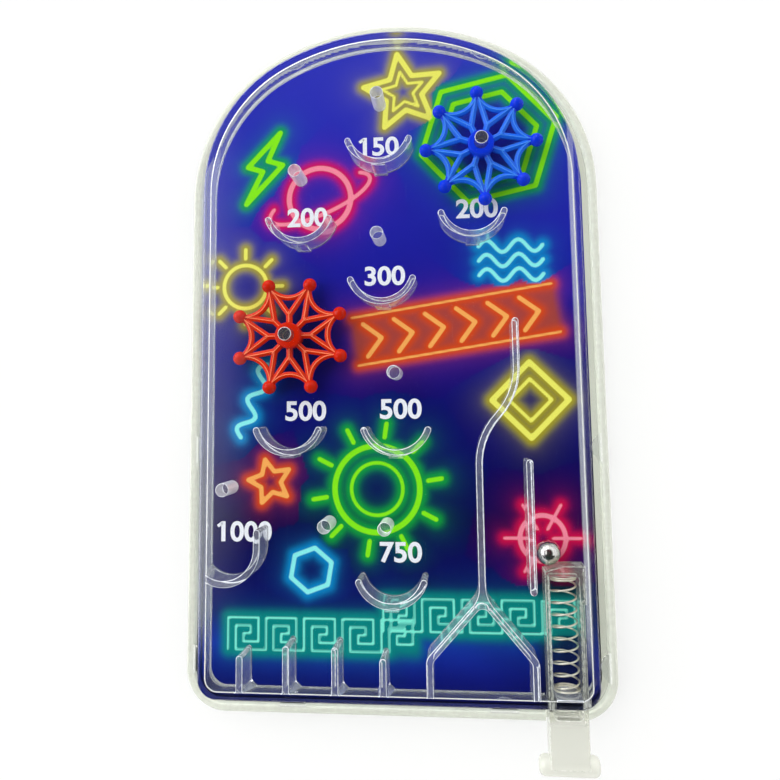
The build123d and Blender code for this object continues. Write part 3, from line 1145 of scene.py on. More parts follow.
@dataclass
class Heights:
    """Levels of the case, read from the frame."""

    card_top: float = field(init=False)
    flange_top: float = field(init=False)
    hang_low: float = field(init=False)
    window_low: float = field(init=False)
    window_top: float = field(init=False)
    seat_gap: float = 0.03 * MM
    flange_t: float = 1.2 * MM

    def __post_init__(self) -> None:
        """Reads the levels from the card, a pin and the cover."""
        self.card_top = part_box("playfield_card")[1].z
        self.flange_top = self.card_top + self.flange_t
        self.hang_low, self.window_low = (corner.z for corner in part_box("bumper_pin_top"))
        self.window_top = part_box("cover")[1].z


@dataclass
class BaseTray(SubAssembly):
    """Clear tray with a rim, half-round tabs over the cover's flange and a gap for the plunger."""

    outline: CaseOutline
    heights: Heights
    plunger_x: float
    rim_t: float = 1.5 * MM
    rim_edge: float = 0.45 * MM
    clip_r: float = 3.1 * MM
    clip_t: float = 0.8 * MM
    gap_half: float = 3.9 * MM
    gap_top_y: float = -68.25 * MM
    clip_steps: int = 20
    side_clips: tuple[float, ...] = (-18.9 * MM, -60.2 * MM)
    bottom_clip_x: float = 20.58 * MM
    arch_clip_deg: float = 66.0
    rim: ClearPlastic = ClearPlastic(
        "rim_clear", tint="#EEF2E8", milk="#E4E6DB", roughness=0.05, streak=0.1, even=0.45,
    )
    tab: ClearPlastic = ClearPlastic("tab_clear")

    def shell(self, finishes: Sequence[Material]) -> Object:
        """Floor and rim.

        Args:
            finishes: plastic of the rim, then of the tabs.

        Returns:
            The tray without its tabs.
        """
        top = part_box("base_tray")[1].z
        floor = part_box("playfield_card")[0].z - self.heights.seat_gap
        bm = bmesh.new()
        loops = self.outline.sweep(bm, [(0, 0), (0, top), (self.rim_t, top), (self.rim_t, floor)])
        for loop in loops[:3]:
            round_edges(bm, loop, self.rim_edge)
        return new_piece("base_tray_clear", bm, finishes)

    def clip(self, bm: BMesh, middle: Point, inward_deg: float, low: float) -> None:
        """Half-round tab that reaches inwards from the rim.

        Args:
            bm: the mesh.
            middle: middle of its straight side, on the case's edge.
            inward_deg: direction into the case.
            low: height of its underside.
        """
        way = Vector((math.cos(math.radians(inward_deg)), math.sin(math.radians(inward_deg))))
        root = Vector(middle) + way * self.rim_t / 2
        across = Vector((way.y, -way.x)) * math.sqrt(self.clip_r ** 2 - (self.rim_t / 2) ** 2)
        sweep = 2 * math.degrees(math.acos(self.rim_t / 2 / self.clip_r))
        pen = Pen(bm, tuple(root + across), low)
        pen.arc(middle, sweep, self.clip_steps).line(tuple(root + across))
        before = set(bm.faces)
        bmesh.ops.edgeloop_fill(bm, edges=pen.close())
        raise_faces(bm, faces_since(bm, before), self.clip_t - self.heights.seat_gap)

    def clips(self, finishes: Sequence[Material]) -> Object:
        """All the tabs.

        Args:
            finishes: plastic of the rim, then of the tabs.

        Returns:
            One solid for each tab, in one object.
        """
        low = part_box("base_tray")[1].z - self.clip_t
        half_w, half_l = self.outline.half_w, self.outline.half_l
        angle = math.radians(self.arch_clip_deg)
        arch_x = self.outline.crown_r * math.cos(angle)
        arch_y = self.outline.crown_y + self.outline.crown_r * math.sin(angle)
        bm = bmesh.new()
        for y in self.side_clips:
            self.clip(bm, (half_w, y), 180, low)
            self.clip(bm, (-half_w, y), 0, low)
        for side in (1, -1):
            self.clip(bm, (side * self.bottom_clip_x, -half_l), 90, low)
        self.clip(bm, (arch_x, arch_y), self.arch_clip_deg + 180, low)
        self.clip(bm, (-arch_x, arch_y), -self.arch_clip_deg, low)
        for face in bm.faces:
            face.material_index = 1
        return new_piece("tabs", bm, finishes)

    def gap(self) -> Object:
        """Room for the plunger in the rim.

        Returns:
            The solid to cut away.
        """
        left, right = self.plunger_x - self.gap_half, self.plunger_x + self.gap_half
        low = Vector((left, -self.outline.half_l - self.rim_t, self.heights.card_top))
        return blocks("gap", (low, Vector((right, self.gap_top_y, self.heights.window_top))))

    def build(self) -> list[Object]:
        """Builds and dresses the tray.

        Returns:
            The tray.
        """
        finishes = (self.rim.make(), self.tab.make())
        tray = self.shell(finishes)
        work_in(tray, self.clips(finishes), Joining.ADD)
        work_in(tray, self.gap(), Joining.CUT)
        crisp_flats(tray)
        return [dress(tray, "case", "clear_plastic", "base_tray")]


@dataclass
class CoverMoulding(SubAssembly):
    """Clear cover, and the pins, cups, rails, dividers and spring seat that hang from its window."""

    outline: CaseOutline
    heights: Heights
    plunger_x: float
    flange_setback: float = 1.75 * MM
    setback: float = 3.4 * MM
    wall_t: float = 1.2 * MM
    lean: float = 1.0 * MM
    edge_r: float = 0.36 * MM
    edge_steps: int = 6
    foot_r: float = 0.5 * MM
    inner_r: float = 0.4 * MM
    rail_t: float = 1.3 * MM
    highlight_edge_r: float = 0.12 * MM
    seam: float = 0.04 * MM
    side_cup: str = "score_cup_1000"
    round_cup: str = "score_cup_150"
    cup_depth: float = 4.4 * MM
    cup_sweep_deg: float = 165.0
    pad_w: float = 2.8 * MM
    pad_t: float = 0.35 * MM
    foot_flare: float = 1.2 * MM
    bend_y: float = -3.0 * MM
    bend_foot_y: float = -22.0 * MM
    apex_y: float = -46.7 * MM
    kink_y: float = -57.8 * MM
    fork_bend_r: float = 2.0 * MM
    joint_r: float = 5.0 * MM
    joint_steps: int = 8
    pin_steps: int = 32
    notch_in: float = 2.4 * MM
    notch_out: float = 3.9 * MM
    notch_top: float = 7.5 * MM
    wall_milk: float = 0.05
    wall_clear: Point = (1.0 * MM, 1.4 * MM)
    # The left and right milky stretches below are painted glare and a painted highlight on the window.
    painted_glare_share: float = 0.25
    left_w: float = 4.4 * MM
    left_soft: float = 0.4 * MM
    painted_highlight_share: float = 0.20
    right_in: float = 6.4 * MM
    right_w: float = 0.9 * MM
    right_soft: float = 0.2 * MM
    right_low: float = 0.1 * MM
    right_fade: float = 0.3 * MM
    upper_share: float = 0.70
    upper_soft: float = 12 * MM
    pin_milk: float = 0.66
    pin_clear_end: float = 0.4 * MM
    hanging: ClearPlastic = ClearPlastic("hanging_clear", even=0.09)
    # Pale rounded edges: a painted highlight in place of glints along the edges.
    edge_highlight: ClearPlastic = ClearPlastic("hanging_edge_highlight", milk="#F8F9FF", even=0.90)
    bumper: ClearPlastic = ClearPlastic("pin_clear", milk="#F2F2FA", streak=0.3, even=0.05)
    axle: ClearPlastic = ClearPlastic("axle_clear", milk="#F2F4FC", streak=0.6, even=0.05)

    def shell_plastic(self) -> ClearPlastic:
        """Clear plastic that is milky in its wall, with painted glare at the left and a painted highlight
        along the window's right edge.

        Returns:
            The cover's finish.
        """
        levels, half_w, half_l = self.heights, self.outline.half_w, self.outline.half_l
        foot, head = self.wall_clear
        wall = Haze(Axis.UP, levels.flange_top + foot, levels.window_low - head, self.wall_milk)
        upper = Haze(Axis.ALONG, -self.upper_share * half_l, half_l, 1.0, self.upper_soft)
        # Painted glare: a milky strip along the window's left side, fading out down the card, stands in for
        # a reflection.
        left = Haze(Axis.ACROSS, -half_w, self.left_w - half_w, self.painted_glare_share, self.left_soft, upper)
        # Painted highlight: a milky strip where the window meets the right wall, fading out down the card.
        edge_low, edge_top = levels.window_low - self.right_low, levels.window_top + MM
        edge = Haze(Axis.UP, edge_low, edge_top, self.painted_highlight_share, self.right_fade, upper)
        right_x = half_w - self.right_in
        right = Haze(Axis.ACROSS, right_x, right_x + self.right_w, 1.0, self.right_soft, edge)
        return ClearPlastic("cover_clear", streak=0.15, hazes=(wall, left, right))

    def bumper_plastic(self) -> ClearPlastic:
        """Plastic of the bumper pins, milky between their clear ends."""
        low, high = self.heights.hang_low + self.pin_clear_end, self.heights.window_low - self.pin_clear_end
        return replace(self.bumper, hazes=(Haze(Axis.UP, low, high, self.pin_milk),))

    def wall_inset(self, start: float, z: float) -> float:
        """Inset of a leaning wall at a height."""
        rise = self.heights.window_top - self.heights.card_top
        return start + self.lean * (z - self.heights.card_top) / rise

    def shell(self) -> Object:
        """Flange, leaning wall and window.

        Returns:
            The bare cover.
        """
        levels = self.heights
        low = levels.card_top + levels.seat_gap
        inner = self.setback + self.wall_t
        section = [
            (self.wall_inset(inner, levels.window_low), levels.window_low),
            (inner, low),
            (self.flange_setback, low),
            (self.flange_setback, levels.flange_top),
            (self.wall_inset(self.setback, levels.flange_top), levels.flange_top),
            (self.wall_inset(self.setback, levels.window_top), levels.window_top),
        ]
        bm = bmesh.new()
        loops = self.outline.sweep(bm, section)
        bmesh.ops.recalc_face_normals(bm, faces=bm.faces)
        round_edges(bm, loops[-1], self.edge_r, self.edge_steps)
        round_edges(bm, loops[0], self.inner_r)
        round_edges(bm, loops[4], self.foot_r)
        return new_piece("cover_clear", bm, (self.shell_plastic().make(),))

    def core(self) -> Object:
        """Room inside the wall, which trims what hangs.

        Returns:
            The solid to keep within.
        """
        start = self.setback + self.wall_t + self.seam
        ends = (self.heights.card_top, self.heights.window_low)
        bm = bmesh.new()
        self.outline.sweep(bm, [(self.wall_inset(start, z), z) for z in ends])
        return new_piece("core", bm)

    def height(self) -> float:
        """Height of what hangs, up to the seam under the window."""
        return self.heights.window_low - self.heights.hang_low - self.seam

    def inside_bottom(self) -> float:
        """Place of the lower wall's inside at the card."""
        return self.setback + self.wall_t - self.outline.half_l

    def pen(self, bm: BMesh, start: Point, heading: float, width: float | None = None) -> RailPen:
        """A pen for a rail of the usual thickness at the usual height."""
        return RailPen(bm, start, heading, width or self.rail_t, self.heights.hang_low)

    def raise_wall(self, pen: RailPen) -> None:
        """Raises a drawn rail to the window."""
        pen.wall(self.height(), self.highlight_edge_r)

    def pin(self, bm: BMesh, node: str) -> None:
        """Round pin at a node's place.

        Args:
            bm: the mesh.
            node: the CAD pin.
        """
        low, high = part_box(node)
        middle = (low + high) / 2
        middle.z = self.heights.hang_low + self.height() / 2
        round_bar(bm, Matrix.Translation(middle), high.x - low.x, self.height(), self.pin_steps)
        round_highlight_edges(bm, level_edges(bm.edges), self.highlight_edge_r)

    def bowl(self, node: str) -> Point:
        """Half width and radius of a cup's middle line."""
        low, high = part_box(node)
        half = (high.x - low.x - self.rail_t) / 2
        return half, (half ** 2 + self.cup_depth ** 2) / (2 * self.cup_depth)

    def cup(self, bm: BMesh, node: str) -> None:
        """Bowl-shaped wall at a node's place.

        Args:
            bm: the mesh.
            node: the CAD cup.
        """
        low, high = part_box(node)
        half, radius = self.bowl(node)
        sweep = 2 * math.degrees(math.asin(half / radius))
        tip_y = low.y + self.pad_t + self.rail_t / 2 + self.cup_depth
        pen = self.pen(bm, ((low.x + high.x) / 2 - half, tip_y), -sweep / 2)
        self.raise_wall(pen.turn(sweep, radius).rounded())

    def wall_cup(self, bm: BMesh, node: str) -> None:
        """Hook-shaped wall that closes a cup against the left side, as round as the other cups.

        Args:
            bm: the mesh.
            node: the CAD hook.
        """
        low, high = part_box(node)
        radius = self.bowl(self.round_cup)[1]
        leg = high.y - low.y - radius - self.rail_t
        pen = self.pen(bm, (high.x - self.rail_t / 2, high.y - self.rail_t / 2), -90)
        self.raise_wall(pen.forward(leg).turn(-self.cup_sweep_deg, radius).rounded(last=False))

    def divider(self, bm: BMesh, node: str) -> None:
        """Straight wall between two lanes, with a flared foot.

        Args:
            bm: the mesh.
            node: the CAD divider.
        """
        low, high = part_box(node)
        foot = self.inside_bottom() - self.wall_t / 2
        pen = self.pen(bm, ((low.x + high.x) / 2, foot), 90, self.rail_t + 2 * self.foot_flare)
        pen.forward(self.wall_t / 2).forward(self.foot_flare, self.rail_t)
        pen.forward(high.y - self.rail_t / 2 - self.inside_bottom() - self.foot_flare)
        self.raise_wall(pen.rounded(first=False))

    def fork(self, bm: BMesh, node: str) -> None:
        """Roof-shaped rail over the dead lanes, with its apex under the curved rail's foot.

        Args:
            bm: the mesh.
            node: the CAD fork.
        """
        low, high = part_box(node)
        left, right = low.x + self.rail_t / 2, high.x - self.rail_t / 2
        apex_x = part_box("curved_rail")[0].x + self.rail_t / 2
        foot = self.inside_bottom() - self.wall_t / 2
        points = [(left, self.kink_y), (apex_x, self.apex_y), (right, self.kink_y), (right, foot)]
        self.raise_wall(self.pen(bm, (left, foot), 90).follow(points, self.fork_bend_r))

    def curved_rail(self, bm: BMesh, node: str) -> None:
        """S-shaped rail that ends inside the fork's apex.

        Args:
            bm: the mesh.
            node: the CAD rail.
        """
        low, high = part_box(node)
        top_x, foot_x = high.x - self.rail_t / 2, low.x + self.rail_t / 2
        across, down = (top_x - foot_x) / 2, (self.bend_y - self.bend_foot_y) / 2
        radius = (across ** 2 + down ** 2) / (2 * across)
        bend = 2 * math.degrees(math.atan2(across, down))
        pen = self.pen(bm, (top_x, high.y - self.rail_t / 2), -90)
        pen.forward(high.y - self.rail_t / 2 - self.bend_y)
        pen.turn(-bend, radius).turn(bend, radius)
        fork_low, fork_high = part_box("fork_rail")
        leg = (fork_high.x - fork_low.x - self.rail_t) / 2
        lean = math.atan2(leg, self.apex_y - self.kink_y)
        meet_y = self.apex_y + self.rail_t / 2 * (1 / math.sin(lean) - 1 / math.tan(lean))
        pen.forward(self.bend_foot_y - meet_y - self.joint_r * math.tan(lean / 2))
        joint_l = self.joint_r * math.sin(lean)
        for step in range(1, self.joint_steps + 1):
            run = joint_l * step / self.joint_steps
            spread = self.joint_r - math.sqrt(self.joint_r ** 2 - run ** 2)
            pen.forward(joint_l / self.joint_steps, self.rail_t + 2 * spread)
        self.raise_wall(pen.rounded(last=False))

    def launch_rail(self, bm: BMesh, node: str) -> None:
        """Straight rail along the launch lane.

        Args:
            bm: the mesh.
            node: the CAD rail.
        """
        low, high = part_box(node)
        pen = self.pen(bm, ((low.x + high.x) / 2, low.y + self.rail_t / 2), 90)
        self.raise_wall(pen.forward(high.y - low.y - self.rail_t).rounded())

    def seat(self, bm: BMesh, node: str) -> None:
        """Lug that the spring pushes against.

        Args:
            bm: the mesh.
            node: the CAD lug.
        """
        low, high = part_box(node)
        low.y = self.inside_bottom() - self.wall_t / 2
        high.z = self.heights.window_low - self.seam
        box_solid(bm, low, high)
        round_highlight_edges(bm, level_edges(bm.edges), self.highlight_edge_r)

    def pad(self, node: str) -> Object:
        """Flat pad under a cup.

        Args:
            node: the CAD cup.

        Returns:
            The pad.
        """
        low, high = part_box(node)
        middle = (low.x + high.x) / 2
        top = self.heights.window_low - self.seam - self.highlight_edge_r
        corner = Vector((middle - self.pad_w / 2, low.y, self.heights.hang_low + self.highlight_edge_r))
        return blocks("pad", (corner, Vector((middle + self.pad_w / 2, low.y + self.rail_t / 2, top))))

    def notches(self) -> Object:
        """Room for the plunger's two rails in the flange and the lower wall.

        Returns:
            The solids to cut away.
        """
        foot = -self.outline.half_l
        boxes = []
        for side in (-1, 1):
            ends = sorted(self.plunger_x + side * aside for aside in (self.notch_in, self.notch_out))
            high = Vector((ends[1], foot + self.outline.corner_r, self.notch_top))
            boxes.append((Vector((ends[0], foot, 0.0)), high))
        return blocks("notches", *boxes)

    def hang(self, piece: Object, *nodes: str) -> Object:
        """Trims a hanging piece to the room inside the wall and dresses it.

        Args:
            piece: the piece, with its finishes.
            nodes: the CAD nodes that it stands for.

        Returns:
            The piece.
        """
        work_in(piece, self.core(), Joining.KEEP)
        crisp_flats(piece)
        return dress(piece, "case", "clear_plastic", *nodes)

    def build_hanging(self) -> list[Object]:
        """Builds and dresses what hangs from the window.

        Returns:
            The hanging pieces.
        """
        edge_highlight = self.edge_highlight.make()
        finishes = (self.hanging.make(), edge_highlight)
        axle = (self.axle.make(), edge_highlight)
        bumper = (self.bumper_plastic().make(), edge_highlight)
        pins = {"bumper": bumper, "red_spinner": axle, "blue_spinner": axle}
        nodes = sorted(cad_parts)
        cups = [node for node in nodes if node.startswith("score_cup") and node != self.side_cup]
        makers = {self.side_cup: self.wall_cup, "launch_rail": self.launch_rail, "spring_seat": self.seat}
        makers |= {node: self.pin for node in nodes if "_pin" in node}
        makers |= dict.fromkeys(cups, self.cup)
        makers |= {node: self.divider for node in nodes if node.startswith("lane_divider")}
        makers |= {"fork_rail": self.fork, "curved_rail": self.curved_rail}
        drawn: dict[str, Object] = {}
        for node, maker in makers.items():
            bm = bmesh.new()
            maker(bm, node)
            name = "fork_rails_clear" if node == "fork_rail" else f"{node}_clear"
            drawn[node] = new_piece(name, bm, pins.get(node.partition("_pin")[0], finishes))
        for node in cups:
            work_in(drawn[node], self.pad(node), Joining.ADD)
        work_in(drawn["fork_rail"], drawn.pop("curved_rail"), Joining.ADD)
        joined = {"fork_rail": ("fork_rail", "curved_rail")}
        return [self.hang(piece, *joined.get(node, (node,))) for node, piece in drawn.items()]

    def build(self) -> list[Object]:
        """Builds and dresses the cover and what hangs from its window.

        Returns:
            The cover and the hanging pieces.
        """
        cover = self.shell()
        work_in(cover, self.notches(), Joining.CUT)
        crisp_flats(cover)
        return [dress(cover, "case", "clear_plastic", "cover"), *self.build_hanging()]


@dataclass
class Plunger(SubAssembly):
    """Clear pull rod: a sloped head, two rails round the spring's slot, a guide pad, a stem and a knob."""

    body_w: float = 7.2 * MM
    rail: float = 0.9 * MM
    pad: float = 0.4 * MM
    pad_l: float = 7.0 * MM
    head_t: float = 2.0 * MM
    head_slope: float = 1.0 * MM
    knob_d: float = 3.9 * MM
    knob_end_r: float = 1.2 * MM
    knob_end_steps: int = 8
    knob_steps: int = 48
    slot_foot_y: float = -68.55 * MM
    slot_r: float = 1.0 * MM
    slot_top_r: float = 0.4 * MM
    edge: float = 0.18 * MM
    corner_steps: int = 6
    stem_milk: float = 0.34
    stem_soft: float = 0.8 * MM
    plastic: ClearPlastic = ClearPlastic(
        "rod_clear", tint="#F2F1EA", milk="#D8DACE", roughness=0.03, streak=0.0, even=0.10,
    )
    # Pale rounded edges: a painted highlight in place of glints along the edges.
    edge_highlight: ClearPlastic = ClearPlastic("rod_edge_highlight", tint="#F2F1EA", milk="#DCDED4", even=0.35)

    def __post_init__(self) -> None:
        """Reads the rod's place from the frame."""
        low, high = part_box("plunger")
        self.x = (low.x + high.x) / 2
        self.knob_w = high.x - low.x
        self.body_low, self.body_top = low.z, high.z
        self.foot_y, self.head_y = low.y, high.y

    def rod_outline(self, bm: BMesh) -> list[BMEdge]:
        """Outline of the stem, the pad and the sloped head.

        Args:
            bm: the mesh.

        Returns:
            The outline's edges.
        """
        left, right = self.x - self.body_w / 2, self.x + self.body_w / 2
        stem_y = self.foot_y + self.knob_d / 2
        pad_y = self.head_y - self.pad_l
        pen = Pen(bm, (left, stem_y), self.body_low)
        pen.line((right, stem_y)).line((right, pad_y)).line((right + self.pad, pad_y))
        pen.line((right + self.pad, self.head_y)).line((self.x, self.head_y))
        return pen.line((left, self.head_y - self.head_slope)).line((left, stem_y)).close()

    def slot_outline(self, bm: BMesh) -> list[BMEdge]:
        """Outline of the spring's slot, with tighter corners at its top.

        Args:
            bm: the mesh.

        Returns:
            The outline's edges.
        """
        half = self.body_w / 2 - self.rail
        top, foot = self.head_y - self.head_t, self.slot_foot_y
        bend, top_bend = half - self.slot_r, half - self.slot_top_r
        top_y, foot_y = top - self.slot_top_r, foot + self.slot_r
        pen = Pen(bm, (self.x - bend, foot), self.body_low)
        pen.line((self.x + bend, foot)).arc((self.x + bend, foot_y), 90, self.corner_steps)
        pen.line((self.x + half, top_y)).arc((self.x + top_bend, top_y), 90, self.corner_steps)
        pen.line((self.x - top_bend, top)).arc((self.x - top_bend, top_y), 90, self.corner_steps)
        pen.line((self.x - half, foot_y)).arc((self.x - bend, foot_y), 90, self.corner_steps)
        return pen.close()

    def body(self, finishes: Sequence[Material]) -> Object:
        """Head, rails, pad and stem round the slot.

        Args:
            finishes: clear plastic, then the pale plastic of the edges, a painted highlight.

        Returns:
            The rod without its knob.
        """
        bm = bmesh.new()
        outlines = self.rod_outline(bm) + self.slot_outline(bm)
        bmesh.ops.triangle_fill(bm, edges=outlines, use_beauty=True)
        raise_faces(bm, list(bm.faces), self.body_top - self.body_low)
        bmesh.ops.recalc_face_normals(bm, faces=bm.faces)
        round_highlight_edges(bm, sharp_edges(bm.edges), self.edge)
        return new_piece("plunger_clear", bm, finishes)

    def knob(self) -> Object:
        """Round bar across the stem's foot, with well rounded ends.

        Returns:
            The knob.
        """
        middle = Vector((self.x, self.foot_y + self.knob_d / 2, (self.body_low + self.body_top) / 2))
        place = Matrix.Translation(middle) @ Matrix.Rotation(math.pi / 2, 4, "Y")
        bm = bmesh.new()
        round_bar(bm, place, self.knob_d, self.knob_w, self.knob_steps)
        round_edges(bm, sharp_edges(bm.edges, 1.0), self.knob_end_r, self.knob_end_steps)
        return new_piece("knob", bm)

    def build(self) -> list[Object]:
        """Builds and dresses the plunger.

        Returns:
            The plunger.
        """
        stem = Haze(Axis.ALONG, self.foot_y - MM, self.slot_foot_y - MM, self.stem_milk, self.stem_soft)
        rod = self.body((replace(self.plastic, hazes=(stem,)).make(), self.edge_highlight.make()))
        work_in(rod, self.knob(), Joining.ADD)
        crisp_flats(rod)
        return [dress(rod, "plunger", "clear_plastic", "plunger")]


@dataclass
class LaunchSpring(SubAssembly):
    """Wound wire with closed turns at both ends."""

    coil_d: float = 5.0 * MM
    wire_d: float = 0.36 * MM
    end_turns: float = 1.5
    end_pitch: float = 1.08
    open_turns: float = 9.0
    turn_steps: int = 36
    wire_steps: int = 10
    merge_reach: float = 0.0001 * MM
    smooth_deg: float = 60.0
    stroke: float = 13.5 * MM

    def build(self) -> list[Object]:
        """Winds and dresses the spring.

        Returns:
            The spring.
        """
        low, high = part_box("launch_spring")
        middle = (low + high) / 2
        closed_pitch = self.wire_d * self.end_pitch
        length = high.y - low.y - self.wire_d
        open_pitch = (length - 2 * self.end_turns * closed_pitch) / self.open_turns
        start = Vector((middle.x + (self.coil_d - self.wire_d) / 2, low.y + self.wire_d / 2, middle.z))
        bm = bmesh.new()
        ring = bmesh.ops.create_circle(
            bm, cap_ends=False, segments=self.wire_steps, radius=self.wire_d / 2,
            matrix=Matrix.Translation(start),
        )["verts"]
        first = list(bm.edges)
        last: list = [*first, *ring]
        end_run = (self.end_turns, closed_pitch)
        for turns, pitch in (end_run, (self.open_turns, open_pitch), end_run):
            steps = round(turns * self.turn_steps)
            last = bmesh.ops.spin(
                bm, geom=last, cent=middle, axis=(0.0, 1.0, 0.0), angle=math.tau * turns, steps=steps,
                dvec=(0.0, turns * pitch / steps, 0.0),
            )["geom_last"]
        for cap in (first, only(last, BMEdge)):
            bmesh.ops.edgeloop_fill(bm, edges=cap)
        bmesh.ops.remove_doubles(bm, verts=bm.verts, dist=self.merge_reach)
        spring = new_piece("launch_spring_wire", bm, (SpringSteel().make(),), self.smooth_deg)
        dress(spring, "case", "spring_steel", "launch_spring")
        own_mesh(spring)
        return [spring]


@dataclass
class WebSpinner(SubAssembly):
    """Web wheel of ridged ribs: ball tips, scallops between them, paired ribs, spokes and a bored hub."""

    colour: WheelColour
    turn_deg: float
    arms: int = 8
    tip_d: float = 2.8 * MM
    tip_steps: tuple[int, int] = (24, 16)
    rib_d: float = 1.38 * MM
    second_rib_share: float = 0.97
    spoke_d: float = 1.46 * MM
    scallop_d: float = 1.30 * MM
    ridge: float = 0.10 * MM
    ridge_steps: int = 2
    hub_d: float = 5.3 * MM
    hub_edge: float = 0.25 * MM
    hub_edge_steps: int = 3
    bore_d: float = 2.82 * MM
    drum_sides: int = 48
    node_share: float = 0.385
    scallop_share: float = 0.70
    rib_sides: int = 6
    scallop_steps: int = 16
    smooth_deg: float = 35.0

    def __post_init__(self) -> None:
        """Reads the wheel's place from the frame."""
        word = self.colour.name.lower()
        self.node, self.slot = f"{word}_spinner", f"{word}_plastic"
        low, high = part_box(self.node)
        pin_low, pin_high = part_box(f"{self.node}_pin")
        self.hub_h = high.z - low.z
        self.middle = (pin_low + pin_high) / 2
        self.middle.z = (low.z + high.z) / 2
        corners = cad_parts[self.node].data.vertices
        self.tip_r = max((v.co.xy - self.middle.xy).length for v in corners) - self.tip_d / 2

    def finishes(self) -> tuple[Material, Material]:
        """The wheel's plastic, then the paler plastic of its ridges, a painted highlight.

        Returns:
            The two materials.
        """
        thick, thin, ridge_highlight = self.colour.value
        tip_r = self.tip_r - self.tip_d / 2
        plastic = SpinnerPlastic(self.slot, thick, thin, tuple(self.middle.xy), self.hub_d / 2, tip_r)
        # The ridges get a paler plastic as a painted highlight.
        ridge_highlights = replace(plastic, name=f"{self.slot}_ridge", thick=ridge_highlight, thin=ridge_highlight)
        return plastic.make(), ridge_highlights.make()

    def spot(self, radius: float, degrees: float) -> Vector:
        """Point of the wheel's middle plane."""
        angle = math.radians(degrees + self.turn_deg)
        return self.middle + Vector((math.cos(angle), math.sin(angle), 0.0)) * radius

    @staticmethod
    def facing(place: Vector, way: Vector) -> Matrix:
        """Place of a shape whose own Z axis looks along a direction."""
        return Matrix.Translation(place) @ way.to_track_quat("Z", "Y").to_matrix().to_4x4()

    def paint_ridge_highlight(self, bm: BMesh, before: set) -> None:
        """Rounds the upper ridge of a new rib and gives it the wheel's second finish, a paler painted
        highlight.

        Args:
            bm: the mesh.
            before: the edges that were there before the rib.
        """
        edges = edges_since(bm, before)
        top = max(vert.co.z for edge in edges for vert in edge.verts) - LEVEL_REACH
        upper = [edge for edge in edges if all(vert.co.z > top for vert in edge.verts)]
        round_highlight_edges(bm, upper, self.ridge, self.ridge_steps)

    def rib(self, bm: BMesh, start: Vector, end: Vector, thick: float) -> None:
        """Straight ridged rib between two points.

        Args:
            bm: the mesh.
            start: one end.
            end: the other end.
            thick: its thickness.
        """
        before = set(bm.edges)
        run = end - start
        round_bar(bm, self.facing((start + end) / 2, run), thick, run.length, self.rib_sides)
        self.paint_ridge_highlight(bm, before)

    def scallop(self, bm: BMesh, tip: Vector, dip: Vector, next_tip: Vector) -> None:
        """Hollow-curved ridged rib from one tip to the next.

        Args:
            bm: the mesh.
            tip: its start.
            dip: its point nearest to the hub.
            next_tip: its end.
        """
        chord = (next_tip - tip) / 2
        between = (tip + next_tip) / 2
        sag = (between - dip).length
        radius = (chord.length ** 2 + sag ** 2) / (2 * sag)
        centre = dip + (between - dip).normalized() * radius
        sweep = 2 * math.asin(min(1.0, chord.length / radius))
        along = UP.cross(tip - centre).normalized()
        before = set(bm.edges)
        ring = bmesh.ops.create_circle(
            bm, cap_ends=False, segments=self.rib_sides, radius=self.scallop_d / 2,
            matrix=self.facing(tip, along),
        )["verts"]
        first = edges_since(bm, before)
        way = 1 if (Matrix.Rotation(sweep, 3, "Z") @ (tip - centre) + centre - next_tip).length < MM else -1
        last = bmesh.ops.spin(
            bm, geom=[*first, *ring], cent=centre, axis=UP, angle=way * sweep, steps=self.scallop_steps,
        )["geom_last"]
        for cap in (first, only(last, BMEdge)):
            bmesh.ops.edgeloop_fill(bm, edges=cap)
        self.paint_ridge_highlight(bm, before)

    def web(self, finishes: Sequence[Material]) -> Object:
        """Tips, scallops, ribs and spokes, each a closed solid that reaches into its neighbours.

        Args:
            finishes: the plastic, then the painted highlight of its ridges.

        Returns:
            The wheel without its hub.
        """
        bm = bmesh.new()
        step = 360 / self.arms
        around, up = self.tip_steps
        for arm in range(self.arms):
            at = arm * step
            tip, next_tip = self.spot(self.tip_r, at), self.spot(self.tip_r, at + step)
            inner = self.spot(self.node_share * self.tip_r, at + step / 2)
            dip = self.spot(self.scallop_share * self.tip_r, at + step / 2)
            spoke_end = inner + (inner - self.middle).normalized() * self.rib_d / 2
            bmesh.ops.create_uvsphere(
                bm, u_segments=around, v_segments=up, radius=self.tip_d / 2, matrix=Matrix.Translation(tip),
            )
            self.rib(bm, tip, inner, self.rib_d)
            # The second rib is a hair thinner, so that no corners of the two fall together.
            self.rib(bm, next_tip, inner, self.rib_d * self.second_rib_share)
            self.rib(bm, self.middle, spoke_end, self.spoke_d)
            self.scallop(bm, tip, dip, next_tip)
        return new_piece(f"{self.node}_wheel", bm, finishes)

    def hub(self, finishes: Sequence[Material]) -> Object:
        """Drum in the middle of the wheel.

        Args:
            finishes: the plastic, then the painted highlight of its ridges.

        Returns:
            The hub.
        """
        bm = bmesh.new()
        round_bar(bm, Matrix.Translation(self.middle), self.hub_d, self.hub_h, self.drum_sides)
        round_edges(bm, level_edges(bm.edges), self.hub_edge, self.hub_edge_steps)
        return new_piece("hub", bm, finishes)

    def bore(self) -> Object:
        """Hole for the pin.

        Returns:
            The solid to cut away.
        """
        bm = bmesh.new()
        round_bar(bm, Matrix.Translation(self.middle), self.bore_d, 2 * self.hub_h, self.drum_sides)
        return new_piece("bore", bm)

    def build(self) -> list[Object]:
        """Builds and dresses the wheel.

        Returns:
            The wheel.
        """
        finishes = self.finishes()
        wheel = self.web(finishes)
        work_in(wheel, self.hub(finishes), Joining.ADD, fuse=True)
        weld(wheel)
        work_in(wheel, self.bore(), Joining.CUT)
        shade(wheel, self.smooth_deg)
        return [dress(wheel, self.node, self.slot, self.node)]


